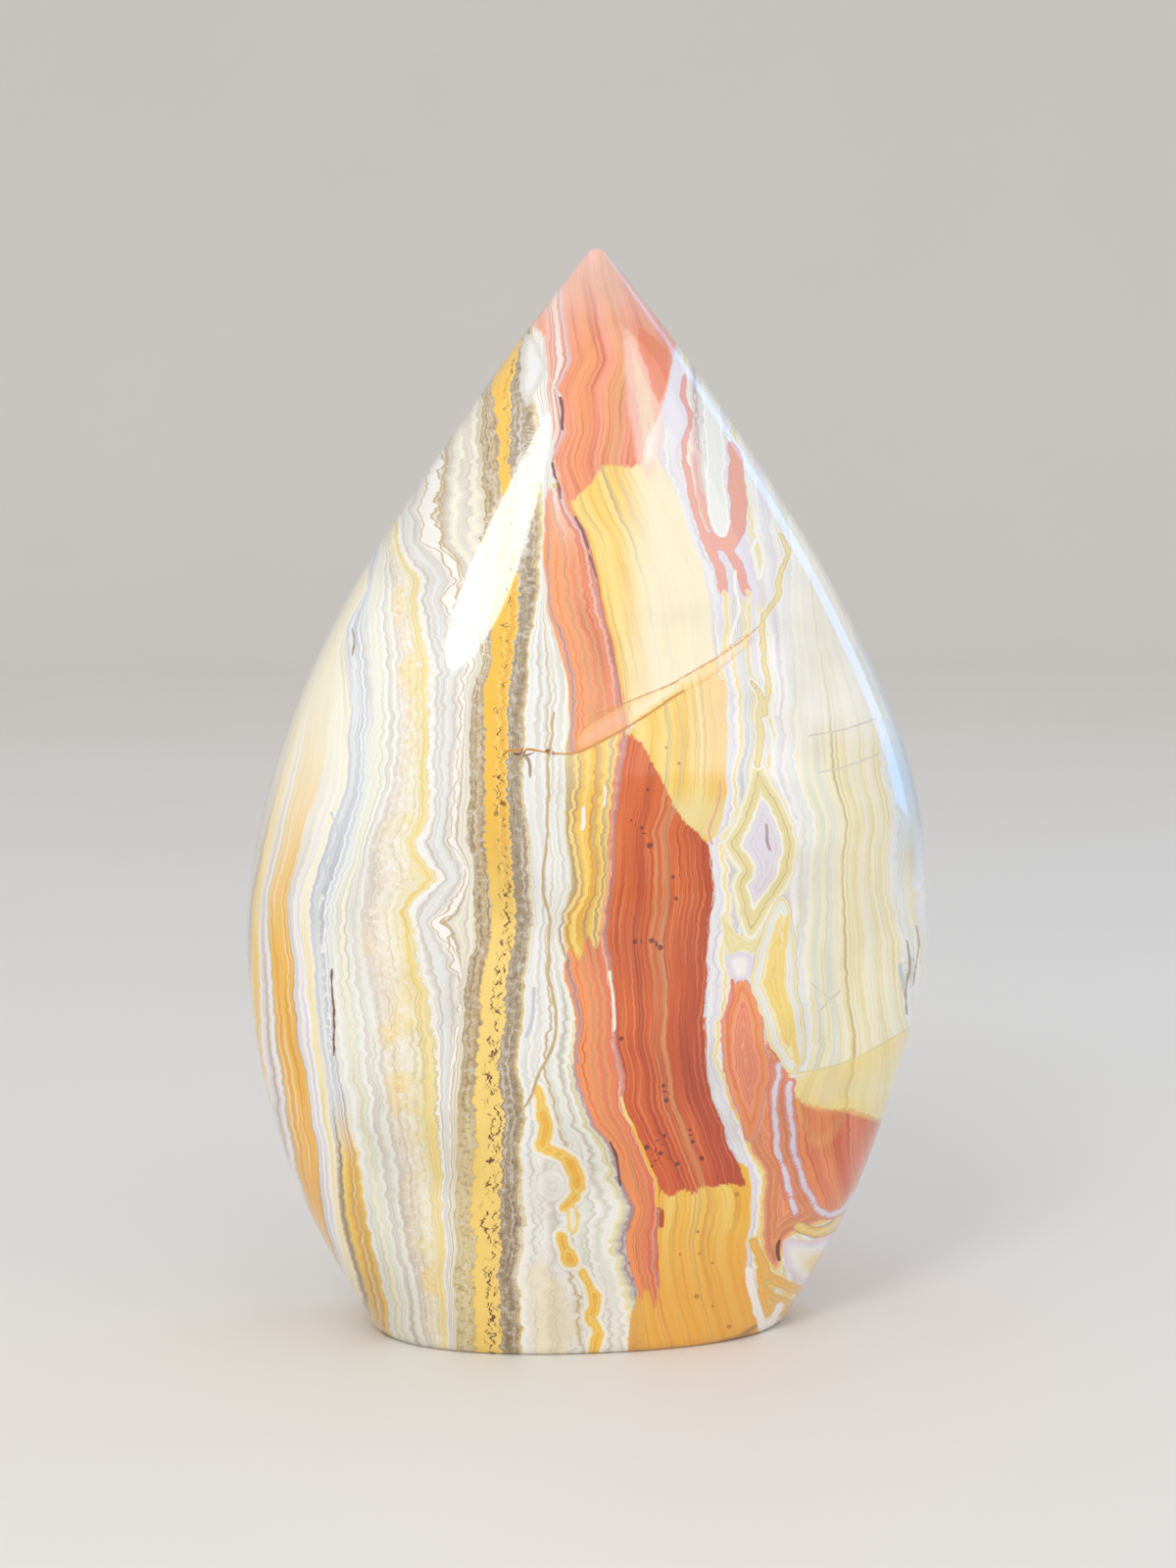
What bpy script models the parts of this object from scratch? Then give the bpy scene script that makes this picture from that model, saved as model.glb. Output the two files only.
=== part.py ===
"""A polished crazy lace agate, cut from one piece of rock as a flame that stands on a flat base.

Metres, +Z up. The origin is the middle of the base, X runs across the face and the front faces -Y.
"""

import math

import bmesh
import bpy
import numpy as np

MM = 0.001

# The face: half of its width, and how far its middle lies to the side, at each height above the base.
HEIGHT = 95.0 * MM
FACE_HEIGHTS = np.array([0.0, 10.0, 20.0, 30.0, 38.0, 48.0, 58.0, 68.0, 78.0, 88.0, 95.0]) * MM
HALF_WIDTHS = np.array([18.4, 24.1, 27.8, 30.0, 30.35, 28.8, 25.2, 19.95, 13.4, 6.2, 0.6]) * MM
FACE_MIDDLES = np.array([-0.85, -0.75, -0.65, -0.15, 0.05, 0.4, 0.4, 0.45, 0.6, 0.6, 0.55]) * MM

# The side: half of the thickness at each height. Front and back are domed alike.
SIDE_HEIGHTS = np.array([0.0, 10.0, 20.0, 32.0, 45.0, 58.0, 70.0, 80.0, 88.0, 95.0]) * MM
HALF_DEPTHS = np.array([11.6, 13.5, 14.9, 15.6, 15.2, 13.4, 10.4, 7.2, 4.1, 0.7]) * MM

# Each level section is an oval, a little squarer than an ellipse.
SECTION_POWER = 2.2
SECTION_POINTS = 64
SECTION_COUNT = 38

# The sawn base has its edge eased so that it doesn't chip.
BASE_EDGE_RADIUS = 0.6 * MM
BASE_EDGE_STEPS = 2

AGATE_COLOUR = (0.76, 0.66, 0.50, 1.0)
POLISHED_ROUGHNESS = 0.12
AGATE_IOR = 1.54


def spline_through(knots, values):
    """A smooth curve through the given values: a natural cubic spline, as a function of height."""
    spans = np.diff(knots)
    slopes = np.diff(values) / spans
    size = len(knots)
    matrix = np.eye(size)
    right = np.zeros(size)
    for i in range(1, size - 1):
        matrix[i, i - 1 : i + 2] = spans[i - 1], 2 * (spans[i - 1] + spans[i]), spans[i]
        right[i] = 6 * (slopes[i] - slopes[i - 1])
    bends = np.linalg.solve(matrix, right)

    def at(height):
        i = int(np.clip(np.searchsorted(knots, height) - 1, 0, size - 2))
        before, after = height - knots[i], knots[i + 1] - height
        cubic = (bends[i] * after**3 + bends[i + 1] * before**3) / (6 * spans[i])
        low = (values[i] / spans[i] - bends[i] * spans[i] / 6) * after
        high = (values[i + 1] / spans[i] - bends[i + 1] * spans[i] / 6) * before
        return cubic + low + high

    return at


def section_points(middle, half_width, half_depth, height):
    """The level oval at one height, as points that run once round it."""
    points = []
    for i in range(SECTION_POINTS):
        turn = 2 * math.pi * i / SECTION_POINTS
        across, deep = math.cos(turn), math.sin(turn)
        x = middle + half_width * math.copysign(abs(across) ** (2 / SECTION_POWER), across)
        y = half_depth * math.copysign(abs(deep) ** (2 / SECTION_POWER), deep)
        points.append((x, y, height))
    return points


def section_heights():
    """Even steps up the stone, closer together near the base and the tip."""
    steps = np.linspace(0.0, 1.0, SECTION_COUNT)
    eased = 0.5 - 0.5 * np.cos(math.pi * steps)
    return HEIGHT * (0.6 * steps + 0.4 * eased)


def flame_mesh():
    """The stone's skin: level ovals joined into one closed body, with a flat base and a blunt tip."""
    half_width = spline_through(FACE_HEIGHTS, HALF_WIDTHS)
    middle = spline_through(FACE_HEIGHTS, FACE_MIDDLES)
    half_depth = spline_through(SIDE_HEIGHTS, HALF_DEPTHS)
    bm = bmesh.new()
    rings = []
    for z in section_heights():
        points = section_points(middle(z), half_width(z), half_depth(z), z)
        rings.append([bm.verts.new(point) for point in points])
    for lower, upper in zip(rings, rings[1:]):
        for i in range(SECTION_POINTS):
            j = (i + 1) % SECTION_POINTS
            bm.faces.new((lower[i], lower[j], upper[j], upper[i]))
    base = bm.faces.new(rings[0][::-1])
    bm.faces.new(rings[-1])
    bmesh.ops.bevel(
        bm,
        geom=list(base.edges),
        offset=BASE_EDGE_RADIUS,
        segments=BASE_EDGE_STEPS,
        profile=0.5,
        affect="EDGES",
    )
    bmesh.ops.recalc_face_normals(bm, faces=bm.faces)
    mesh = bpy.data.meshes.new("crazy_lace_agate")
    bm.to_mesh(mesh)
    bm.free()
    return mesh


def agate_material():
    material = bpy.data.materials.new("polished_agate")
    material.use_nodes = True
    shader = material.node_tree.nodes["Principled BSDF"]
    shader.inputs["Base Color"].default_value = AGATE_COLOUR
    shader.inputs["Roughness"].default_value = POLISHED_ROUGHNESS
    shader.inputs["Metallic"].default_value = 0.0
    shader.inputs["IOR"].default_value = AGATE_IOR
    return material


def main():
    for old in list(bpy.data.objects):
        bpy.data.objects.remove(old)
    mesh = flame_mesh()
    mesh.materials.append(agate_material())
    mesh.shade_smooth()
    mesh.set_sharp_from_angle(angle=math.radians(40))
    stone = bpy.data.objects.new("crazy_lace_agate", mesh)
    bpy.context.scene.collection.objects.link(stone)


main()
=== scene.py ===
"""The looks of a polished crazy lace agate flame, laid out as an add-on and run as a script.

The stone's bands are drawn in the reference view: a frame 1200 wide and 1600 high, seen from the
camera. Each point of the skin is carried along its line of sight into that frame, and the bands are
named lines there, so that they run through the stone from front to back as they do in the rock.
"""

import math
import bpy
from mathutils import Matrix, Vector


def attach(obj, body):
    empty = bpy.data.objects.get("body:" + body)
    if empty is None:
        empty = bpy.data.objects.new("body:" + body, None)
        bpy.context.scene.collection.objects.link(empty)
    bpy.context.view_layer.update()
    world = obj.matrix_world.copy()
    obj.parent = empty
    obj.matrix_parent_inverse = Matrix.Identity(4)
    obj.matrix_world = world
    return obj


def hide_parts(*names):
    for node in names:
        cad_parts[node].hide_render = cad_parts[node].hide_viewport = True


bl_info = {
    "name": "Crazy Lace Agate Flame",
    "version": (1, 0, 0),
    "blender": (4, 5, 0),
    "location": "3D View > Sidebar > Agate",
    "description": "Builds a polished agate flame with its lace bands, and a plain stage for it",
    "category": "Object",
}

import bpy
import numpy as np
from bpy.props import FloatProperty, FloatVectorProperty, IntProperty, PointerProperty

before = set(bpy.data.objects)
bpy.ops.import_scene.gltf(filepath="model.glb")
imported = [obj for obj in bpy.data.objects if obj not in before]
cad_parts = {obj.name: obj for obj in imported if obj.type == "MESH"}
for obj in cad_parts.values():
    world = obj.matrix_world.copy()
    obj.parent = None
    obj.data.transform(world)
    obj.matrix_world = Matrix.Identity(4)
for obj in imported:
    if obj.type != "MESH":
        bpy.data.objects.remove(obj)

MM = 0.001
STONE_NODE = "crazy_lace_agate"

# The stone's shape, the same rule as the solid's, in millimetres

HEIGHT = 95.0
FACE_HEIGHTS = np.array([0.0, 10.0, 20.0, 30.0, 38.0, 48.0, 58.0, 68.0, 78.0, 88.0, 95.0])
HALF_WIDTHS = np.array([18.4, 24.1, 27.8, 30.0, 30.35, 28.8, 25.2, 19.95, 13.4, 6.2, 0.6])
FACE_MIDDLES = np.array([-0.85, -0.75, -0.65, -0.15, 0.05, 0.4, 0.4, 0.45, 0.6, 0.6, 0.55])
SIDE_HEIGHTS = np.array([0.0, 10.0, 20.0, 32.0, 45.0, 58.0, 70.0, 80.0, 88.0, 95.0])
HALF_DEPTHS = np.array([11.6, 13.5, 14.9, 15.6, 15.2, 13.4, 10.4, 7.2, 4.1, 0.7])
SECTION_POWER = 2.2
BASE_EDGE = 0.6
BASE_RINGS = (0.3, 0.6, 0.85)
EDGE_TURNS = (0, 30, 60)

# Points of the skin that are joined, in metres: the seam's two sides, and each flat end's middle
JOINED_WITHIN = 1e-6

# What the polish takes off, which keeps the skin inside the solid's box
POLISHED_AWAY = 0.035

# How even the columns are in width: 1 spaces them evenly across, 0 evenly in angle
EVENNESS = 0.6

# The reference view: its frame in units of its own, and the camera's place in millimetres

FRAME_HEIGHT = 1600.0
HORIZON = 540.0
VIEW_CENTRE = (600.0, 800.0)
VIEW_FOCUS = 3000.0
VIEW_TURN = math.radians(-8.5)
VIEW_DIP = math.atan((VIEW_CENTRE[1] - HORIZON) / VIEW_FOCUS)
VIEW_SIDE = 0.88
VIEW_DISTANCE = 258.98
VIEW_HEIGHT = 70.69
BASE_MIDDLE = -1.09
SENSOR_WIDTH = 36.0
VIEW_LENS = VIEW_FOCUS / FRAME_HEIGHT * SENSOR_WIDTH

# Nothing nearer to the camera than this is seen, in metres.
NEAREST_SEEN = 0.01

# Colours of the rock, and the bluish sheen that is painted on its right rim

ROCK_COLOURS = {
    "milk": ("Milk", "Opaque white lace", "F7F5F0"),
    "bone": ("Bone", "Warm white bands", "F6F0D8"),
    "ash": ("Ash", "Grey bands in the white", "DDD7CE"),
    "mist": ("Mist", "Bluish white bands", "EBEDEA"),
    # Painted reflection: the bluish sheen of the cool rim light, laid into the colour of the right rim
    "glacier": ("Painted rim sheen", "Bluish rim on the right", "B6D4EE"),
    "steel": ("Steel", "Blue-grey crystal", "CBD0D8"),
    "sage": ("Sage", "Greenish white bands", "E4E7DA"),
    "fawn": ("Fawn", "Druzy crystal", "EDE2D2"),
    "lilac": ("Lilac", "Lilac chalcedony", "E4DEEA"),
    "mauve": ("Mauve", "Lilac-brown lines", "B89AA2"),
    "plum": ("Plum", "Dark lines beside the red", "7A454A"),
    "cream": ("Cream", "Cream block on the right", "FBF5D6"),
    "straw": ("Straw", "Lines in the cream", "F1E4B2"),
    "olive": ("Olive", "Olive lace", "EADDA4"),
    "honey": ("Honey", "Pale yellow", "F8DD86"),
    "gold": ("Gold", "Yellow bands", "F6C444"),
    "ochre": ("Ochre", "Deep yellow bands", "F0B444"),
    "tan": ("Tan", "Tan lines", "CDB487"),
    "fox": ("Fox", "Brown lines in the red", "D69A6C"),
    "smoke": ("Smoke", "Brown-grey sides of the vein", "AC9A80"),
    "umber": ("Umber", "Pits in the vein", "7A4A1C"),
    "liver": ("Liver", "Dark dots in the red", "7E2E14"),
    "rust": ("Rust", "Healed faults", "CC8F2E"),
    "jasper": ("Jasper", "Red jasper", "DB6A24"),
    "ember": ("Ember", "Darker lines in the jasper", "C4541A"),
    "apricot": ("Apricot", "Orange bands", "F5A064"),
    "salmon": ("Salmon", "Paler red towards the tip", "F4A484"),
    "coral": ("Coral", "Coral lines", "E78560"),
    "rose": ("Rose", "Pink sleeves of the lace", "E2A39A"),
    "blush": ("Blush", "Pinkish white", "F6D3C8"),
}

# Lines that run through the stone, from left to right: (down, across) in the reference view

SEAMS = {
    "left_of_all": [(240, 150), (1400, 150)],
    "speckled_ochre": [
        (600, 345), (650, 328), (710, 308), (800, 286), (860, 270), (923, 258), (987, 255),
        (1050, 256), (1174, 272), (1300, 300),
    ],
    "ochre_left": [
        (600, 362), (650, 340), (710, 320), (800, 302), (860, 288), (923, 275), (987, 279),
        (1050, 283), (1100, 290), (1174, 302), (1240, 318), (1300, 340),
    ],
    "ochre_right": [
        (600, 372), (650, 348), (710, 337), (800, 326), (860, 307), (923, 293), (987, 299),
        (1050, 302), (1100, 312), (1174, 323), (1240, 330), (1300, 349),
    ],
    "cream_line_left": [
        (560, 376), (600, 357), (640, 345), (710, 350), (800, 345), (860, 326), (923, 306),
        (987, 311), (1050, 317), (1100, 323), (1174, 335), (1240, 342), (1300, 354), (1380, 372),
    ],
    "cream_line_right": [
        (560, 380), (600, 363), (640, 353), (710, 357), (800, 352), (860, 333), (923, 317),
        (987, 321), (1050, 326), (1100, 333), (1174, 342), (1240, 347), (1300, 362), (1380, 378),
    ],
    "crystal_right": [
        (540, 392), (600, 378), (640, 372), (710, 380), (800, 372), (860, 362), (923, 340),
        (987, 339), (1050, 343), (1100, 350), (1174, 364), (1240, 374), (1298, 385), (1350, 397),
        (1385, 405),
    ],
    "druzy_left": [
        (520, 394), (600, 398), (640, 402), (710, 405), (800, 400), (860, 379), (923, 370),
        (987, 374), (1050, 386), (1100, 390), (1174, 402), (1240, 409), (1298, 421), (1380, 437),
    ],
    "yellow_lace": [
        (480, 410), (505, 401), (535, 406), (556, 407), (571, 413), (585, 424), (613, 427),
        (644, 431), (670, 439), (710, 438), (760, 437), (800, 438), (845, 435), (865, 427),
        (885, 440), (900, 447), (912, 432), (930, 420), (950, 424), (1000, 434), (1050, 446),
        (1100, 447), (1174, 450), (1240, 453), (1298, 455), (1380, 457),
    ],
    "white_lace": [
        (440, 446), (495, 434), (519, 430), (542, 434), (556, 433), (566, 448), (580, 459),
        (594, 462), (608, 453), (627, 462), (648, 467), (680, 476), (710, 474), (753, 469),
        (793, 465), (829, 464), (852, 465), (876, 472), (890, 478), (906, 475), (928, 460),
        (940, 445), (955, 450), (970, 460), (994, 473), (1020, 471), (1060, 464), (1174, 457),
        (1298, 459), (1380, 461),
    ],
    "vein_left": [
        (300, 505), (380, 496), (418, 493), (471, 492), (530, 494), (600, 492), (688, 488),
        (739, 478), (815, 477), (866, 480), (900, 483), (996, 479), (1044, 470), (1098, 470),
        (1171, 463), (1219, 465), (1283, 463), (1378, 465),
    ],
    "vein_gold_left": [
        (330, 526), (351, 525), (372, 514), (394, 505), (429, 508), (483, 512), (514, 512),
        (600, 507), (637, 505), (664, 502), (688, 498), (751, 493), (815, 493), (866, 498),
        (930, 501), (996, 497), (1059, 487), (1123, 485), (1187, 482), (1283, 484), (1378, 484),
    ],
    "vein_gold_right": [
        (330, 531), (351, 530), (400, 522), (448, 519), (495, 522), (560, 526), (625, 530),
        (660, 527), (688, 523), (751, 518), (802, 516), (853, 521), (930, 526), (964, 524),
        (1028, 517), (1091, 510), (1139, 513), (1219, 511), (1283, 509), (1378, 513),
    ],
    "vein_right": [
        (330, 544), (354, 541), (408, 546), (429, 550), (470, 552), (509, 555), (554, 555),
        (613, 550), (660, 543), (700, 541), (759, 535), (815, 534), (866, 543), (930, 545),
        (964, 543), (1028, 536), (1091, 530), (1139, 535), (1187, 532), (1251, 535), (1315, 532),
        (1378, 535),
    ],
    "stripes_left": [
        (300, 558), (342, 559), (400, 561), (480, 558), (520, 558), (560, 560), (613, 560),
        (640, 568), (660, 577), (680, 582), (727, 585), (760, 582), (775, 586), (815, 582),
        (853, 580), (886, 588), (910, 587), (930, 577), (945, 573), (987, 582), (1046, 591),
        (1096, 588), (1147, 606), (1174, 626), (1207, 635), (1230, 646), (1265, 636), (1303, 646),
        (1330, 653), (1375, 660),
    ],
    "plum_line": [
        (254, 574), (299, 573), (342, 578), (368, 583), (393, 570), (439, 574), (477, 565),
        (495, 570), (523, 581), (546, 596), (582, 606), (633, 614), (675, 626), (718, 631),
        (744, 638), (790, 633), (841, 627), (892, 626), (943, 620), (987, 624), (1012, 626),
        (1059, 628), (1107, 636), (1122, 634), (1147, 644), (1178, 657), (1210, 672), (1234, 671),
        (1259, 667), (1303, 671), (1330, 675), (1352, 682), (1380, 690),
    ],
    "block_right": [
        (254, 645), (300, 662), (342, 680), (365, 685), (403, 678), (429, 673), (457, 670),
        (482, 673), (498, 683), (523, 693), (546, 698), (579, 713), (610, 722), (668, 726),
        (700, 731), (740, 736), (798, 736), (820, 733), (848, 720), (866, 723), (880, 724),
        (916, 727), (940, 722), (977, 718), (996, 721), (1062, 715), (1115, 722), (1151, 737),
        (1183, 749), (1205, 753), (1221, 760), (1261, 755), (1289, 756), (1325, 768), (1350, 774),
        (1380, 782),
    ],
    "lilac_right": [
        (254, 676), (300, 684), (342, 695), (393, 700), (424, 706), (452, 697), (495, 704),
        (528, 713), (566, 724), (602, 741), (625, 741), (668, 746), (711, 751), (744, 755),
        (772, 753), (803, 747), (831, 748), (863, 734), (892, 738), (904, 738), (924, 742),
        (960, 737), (974, 732), (996, 739), (1030, 738), (1057, 730), (1086, 730), (1098, 736),
        (1117, 744), (1142, 755), (1183, 768), (1202, 776), (1221, 774), (1266, 769), (1293, 772),
        (1328, 783), (1359, 790),
    ],
    "cream_left": [
        (254, 715), (300, 735), (400, 772), (500, 803), (560, 808), (621, 809), (647, 812),
        (703, 813), (788, 814), (848, 831), (880, 827), (928, 827), (977, 819), (1010, 823),
        (1050, 827), (1086, 822), (1113, 812), (1159, 813), (1202, 826), (1229, 836), (1260, 852),
        (1300, 862), (1380, 872),
    ],
    "cream_right": [
        (254, 765), (400, 812), (500, 836), (560, 849), (600, 857), (664, 868), (733, 895),
        (788, 900), (838, 909), (874, 904), (928, 909), (982, 919), (1016, 920), (1060, 931),
        (1120, 934), (1200, 925), (1300, 910),
    ],
    "right_of_all": [(240, 1060), (1400, 1060)],
}

# The lights: name, shape, turn from the front to the right, lift, distance, size, roll and colour

LIT_POINT = (0.0, 0.0, 0.06)
ROOM_COLOUR = (0.97, 0.98, 1.0, 1.0)
STUDIO_LIGHTS = [
    ("key_light", "ELLIPSE", -27.1, 34.65, 0.55, (0.165, 0.216), -27.0, (1.0, 0.99, 0.99)),
    ("left_light", "RECTANGLE", -65.0, 30.0, 0.9, (0.9, 0.7), 0.0, (1.0, 0.99, 0.96)),
    ("fill_light", "RECTANGLE", 25.0, 30.0, 0.9, (0.9, 0.7), 0.0, (1.0, 0.98, 0.95)),
    ("rim_light", "RECTANGLE", 110.5, 24.0, 0.6, (0.15, 0.5), -14.0, (0.10, 0.42, 1.0)),
]

# The floor: its bend and the backdrop's height in metres, its shade and its roughness

FLOOR_BEND = 0.35
BACKDROP_HEIGHT = 1.2
FLOOR_SHADE = 0.86
FLOOR_ROUGHNESS = 0.6

# The bands' own scale: the place that each line of the rock has on it

LINE_PLACES = {
    "left_of_all": 100, "speckled_ochre": 200, "ochre_left": 220, "ochre_right": 240,
    "cream_line_left": 254, "cream_line_right": 263, "crystal_right": 290, "druzy_left": 320,
    "yellow_lace": 365, "white_lace": 393, "vein_left": 420, "vein_gold_left": 437,
    "vein_gold_right": 460, "vein_right": 483, "stripes_left": 530, "plum_line": 570,
    "block_right": 665, "lilac_right": 682, "cream_left": 762, "cream_right": 842,
    "right_of_all": 970,
}

# Lanes on the same scale: where each begins and ends, and how soft its edges are

LANES = {
    "far_left": (150.0, 254.0, 4.0),
    "cream_line": (255.0, 261.0, 1.0),
    "left_of_crystals": (0.0, 264.0, 8.0),
    "lower_yellow": (263.0, 290.0, 0.5),
    "crust": (273.0, 285.0, 2.0),
    "druzy": (322.0, 352.0, 8.0),
    "yellow_beads": (363.0, 369.0, 1.0),
    "vein_left_side": (420.5, 436.0, 0.7),
    "vein_teeth": (436.0, 462.0, 3.0),
    "vein_unlined": (436.0, 461.0, 2.0),
    "vein_gold": (437.0, 459.0, 0.6),
    "vein_pits": (447.0, 456.5, 2.0),
    "vein_right_side": (460.5, 481.0, 0.7),
    "block": (572.0, 664.0, 4.0),
    "cream_block": (762.0, 842.0, 1.0),
    "calm_cream": (764.0, 842.0, 4.0),
}

# How strongly the noise shifts the bands into scallops
SCALLOP = 0.8

# Lace up to this strength is a veil, without lines of its own.
VEILED = 0.92

# The farthest that an outline or a line reaches, in the reference view
FAR = 40.0

# How much of each side is cut off where an outline turns
CORNER_CUT = 0.2

# How lively the lace is, by the place across
LIVELINESS = [
    (250, 0.3), (340, 0.4), (380, 1.0), (480, 1.2), (540, 0.8), (600, 0.5), (720, 0.5), (740, 0.9),
    (810, 0.9), (830, 0.4), (950, 0.5),
]

# The polish
AGATE_IOR = 1.54
SHINE_ROUGHNESS = 0.04
SHINE_IOR = 1.5

# The colour of each band, by its place on that scale

OCHRE_BANDS = [
    (100, "ash"), (150, "honey"), (178, "ash"), (186, "mauve"), (190, "ash"), (196, "ash"),
    (199, "mauve"), (201, "honey"), (205, "gold"), (208, "honey"), (209, "milk"), (211, "lilac"),
    (213, "tan"),
    (215, "lilac"), (217, "milk"), (219, "tan"), (220, "gold"), (224, "ochre"), (229, "gold"),
    (235, "ochre"), (239, "gold"), (240, "tan"), (242, "lilac"), (245, "ash"), (247, "milk"),
    (250, "lilac"), (253, "milk"), (256, "bone"), (260, "bone"), (262, "milk"), (263, "ash"),
]
CRYSTAL_BANDS = [
    (263, "ash"), (265, "steel"), (271, "mist"), (274, "steel"), (279, "steel"), (281, "milk"),
    (283, "steel"), (287, "mist"), (290, "sage"), (293, "milk"), (296, "sage"), (301, "bone"),
    (304, "sage"),
    (309, "milk"), (311, "ash"), (315, "sage"), (318, "milk"), (321, "ash"), (328, "fawn"),
    (345, "bone"), (354, "straw"), (358, "honey"), (361, "straw"), (363, "olive"),
]
WHITE_BANDS = [
    (363, "olive"), (365, "bone"), (368, "milk"), (371, "ash"), (379, "mist"), (387, "ash"),
    (390, "milk"), (399, "milk"), (401, "tan"), (403, "ash"), (408, "bone"), (412, "ash"),
    (416, "bone"), (418.5, "ash"), (420, "olive"), (421, "smoke"), (424, "tan"), (426, "smoke"),
    (429, "tan"), (432, "tan"), (434, "smoke"), (436, "tan"), (437, "gold"),
]
VEIN_BANDS = [
    (437, "gold"), (449, "gold"), (450, "honey"), (451, "gold"), (454, "ochre"), (457, "gold"),
    (459, "honey"), (460, "smoke"), (464, "smoke"), (467, "smoke"), (470, "smoke"), (475, "smoke"),
    (478, "tan"), (481, "olive"), (483, "milk"), (487, "mist"), (492, "milk"), (496, "ash"),
    (498, "mist"), (503, "milk"), (505, "tan"), (507, "milk"), (511, "sage"), (514, "milk"),
    (517, "ash"), (519, "sage"), (523, "milk"), (525, "straw"), (527, "sage"), (529, "mauve"),
]
BLOCK_BANDS = [
    (529, "mauve"), (532, "milk"), (540, "ash"), (546, "milk"), (556, "sage"), (564, "blush"),
    (569, "plum"), (571, "blush"), (590, "bone"), (612, "milk"), (614, "tan"), (616, "milk"),
    (640, "bone"), (655, "lilac"), (663, "milk"), (666, "lilac"), (672, "mist"), (677, "lilac"),
    (680, "milk"), (682, "bone"),
]
RIGHT_BANDS = [
    (682, "bone"), (684, "honey"), (687, "milk"), (690, "ash"), (694, "steel"), (697, "mist"),
    (700, "ash"), (704, "straw"), (709, "mist"), (715, "lilac"), (721, "mist"), (727, "straw"),
    (731, "milk"), (736, "mist"), (742, "lilac"), (747, "milk"), (752, "mist"), (757, "mist"),
    (760, "mist"), (762, "milk"), (765, "cream"), (770, "sage"), (776, "cream"), (781, "sage"),
    (787, "bone"), (793, "cream"), (795, "straw"), (797, "tan"), (798, "cream"), (801, "straw"),
]
RIM_BANDS = [
    (801, "straw"), (803, "cream"), (809, "straw"), (811, "cream"), (820, "bone"), (824, "straw"),
    (826, "cream"), (833, "bone"), (837, "straw"), (839, "cream"), (841, "straw"), (843, "milk"),
    (852, "mist"), (858, "milk"), (862, "straw"), (866, "mist"), (873, "milk"), (880, "steel"),
    (884, "mist"), (890, "honey"), (895, "milk"), (915, "mist"), (930, "straw"), (936, "milk"),
    (955, "ash"), (970, "mist"),
]
# Below, the crystals give way to a second band of yellow.
LOWER_YELLOW_BANDS = [
    (263, "bone"), (265, "tan"), (268, "smoke"), (270, "tan"), (272, "honey"), (276, "gold"),
    (279, "tan"), (281, "gold"), (285, "tan"), (287, "gold"), (290, "honey"),
]
LOWER_YELLOW_FROM = (1110, 1190)
IRON_BANDS = [
    (525, "apricot"), (530, "mauve"), (533, "apricot"), (543, "apricot"), (546, "fox"),
    (548.5, "apricot"), (553, "coral"), (555, "fox"), (557.5, "apricot"), (560, "coral"),
    (565, "coral"), (566.5, "blush"), (568, "coral"), (570, "mauve"), (572, "jasper"), (592, "jasper"),
    (598, "ember"), (605, "jasper"), (611, "jasper"), (613, "fox"), (615, "jasper"),
    (625, "fox"), (627, "jasper"), (650, "ember"), (665, "ember"), (764, "apricot"),
    (772, "coral"), (780, "apricot"), (790, "jasper"), (800, "coral"), (815, "jasper"),
    (842, "ember"),
]
TIP_BANDS = [
    (484, "blush"), (500, "salmon"), (520, "salmon"), (530, "blush"), (534, "salmon"),
    (540, "blush"), (543, "mauve"), (546, "milk"), (555, "milk"), (558, "salmon"),
    (561, "mauve"), (566, "lilac"), (573, "salmon"), (590, "apricot"), (603, "coral"),
    (607, "salmon"), (617, "apricot"), (620, "fox"), (622, "apricot"), (628, "fox"),
    (630, "salmon"), (645, "coral"), (650, "salmon"), (665, "salmon"),
]
GOLD_BANDS = [
    (528, "tan"), (533, "honey"), (535, "tan"), (538, "gold"), (542, "honey"), (545, "gold"),
    (549, "ochre"), (552, "tan"), (554, "gold"), (558, "honey"), (561, "tan"), (563, "honey"),
    (566, "coral"), (569, "mauve"), (571, "gold"), (585, "honey"), (598, "gold"), (611, "honey"),
    (613, "tan"), (615, "honey"), (624, "gold"), (626, "tan"), (628, "gold"), (645, "honey"),
    (655, "gold"), (665, "gold"),
]

# Patches where the bands change colour: (across, down) in the reference view

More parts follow.
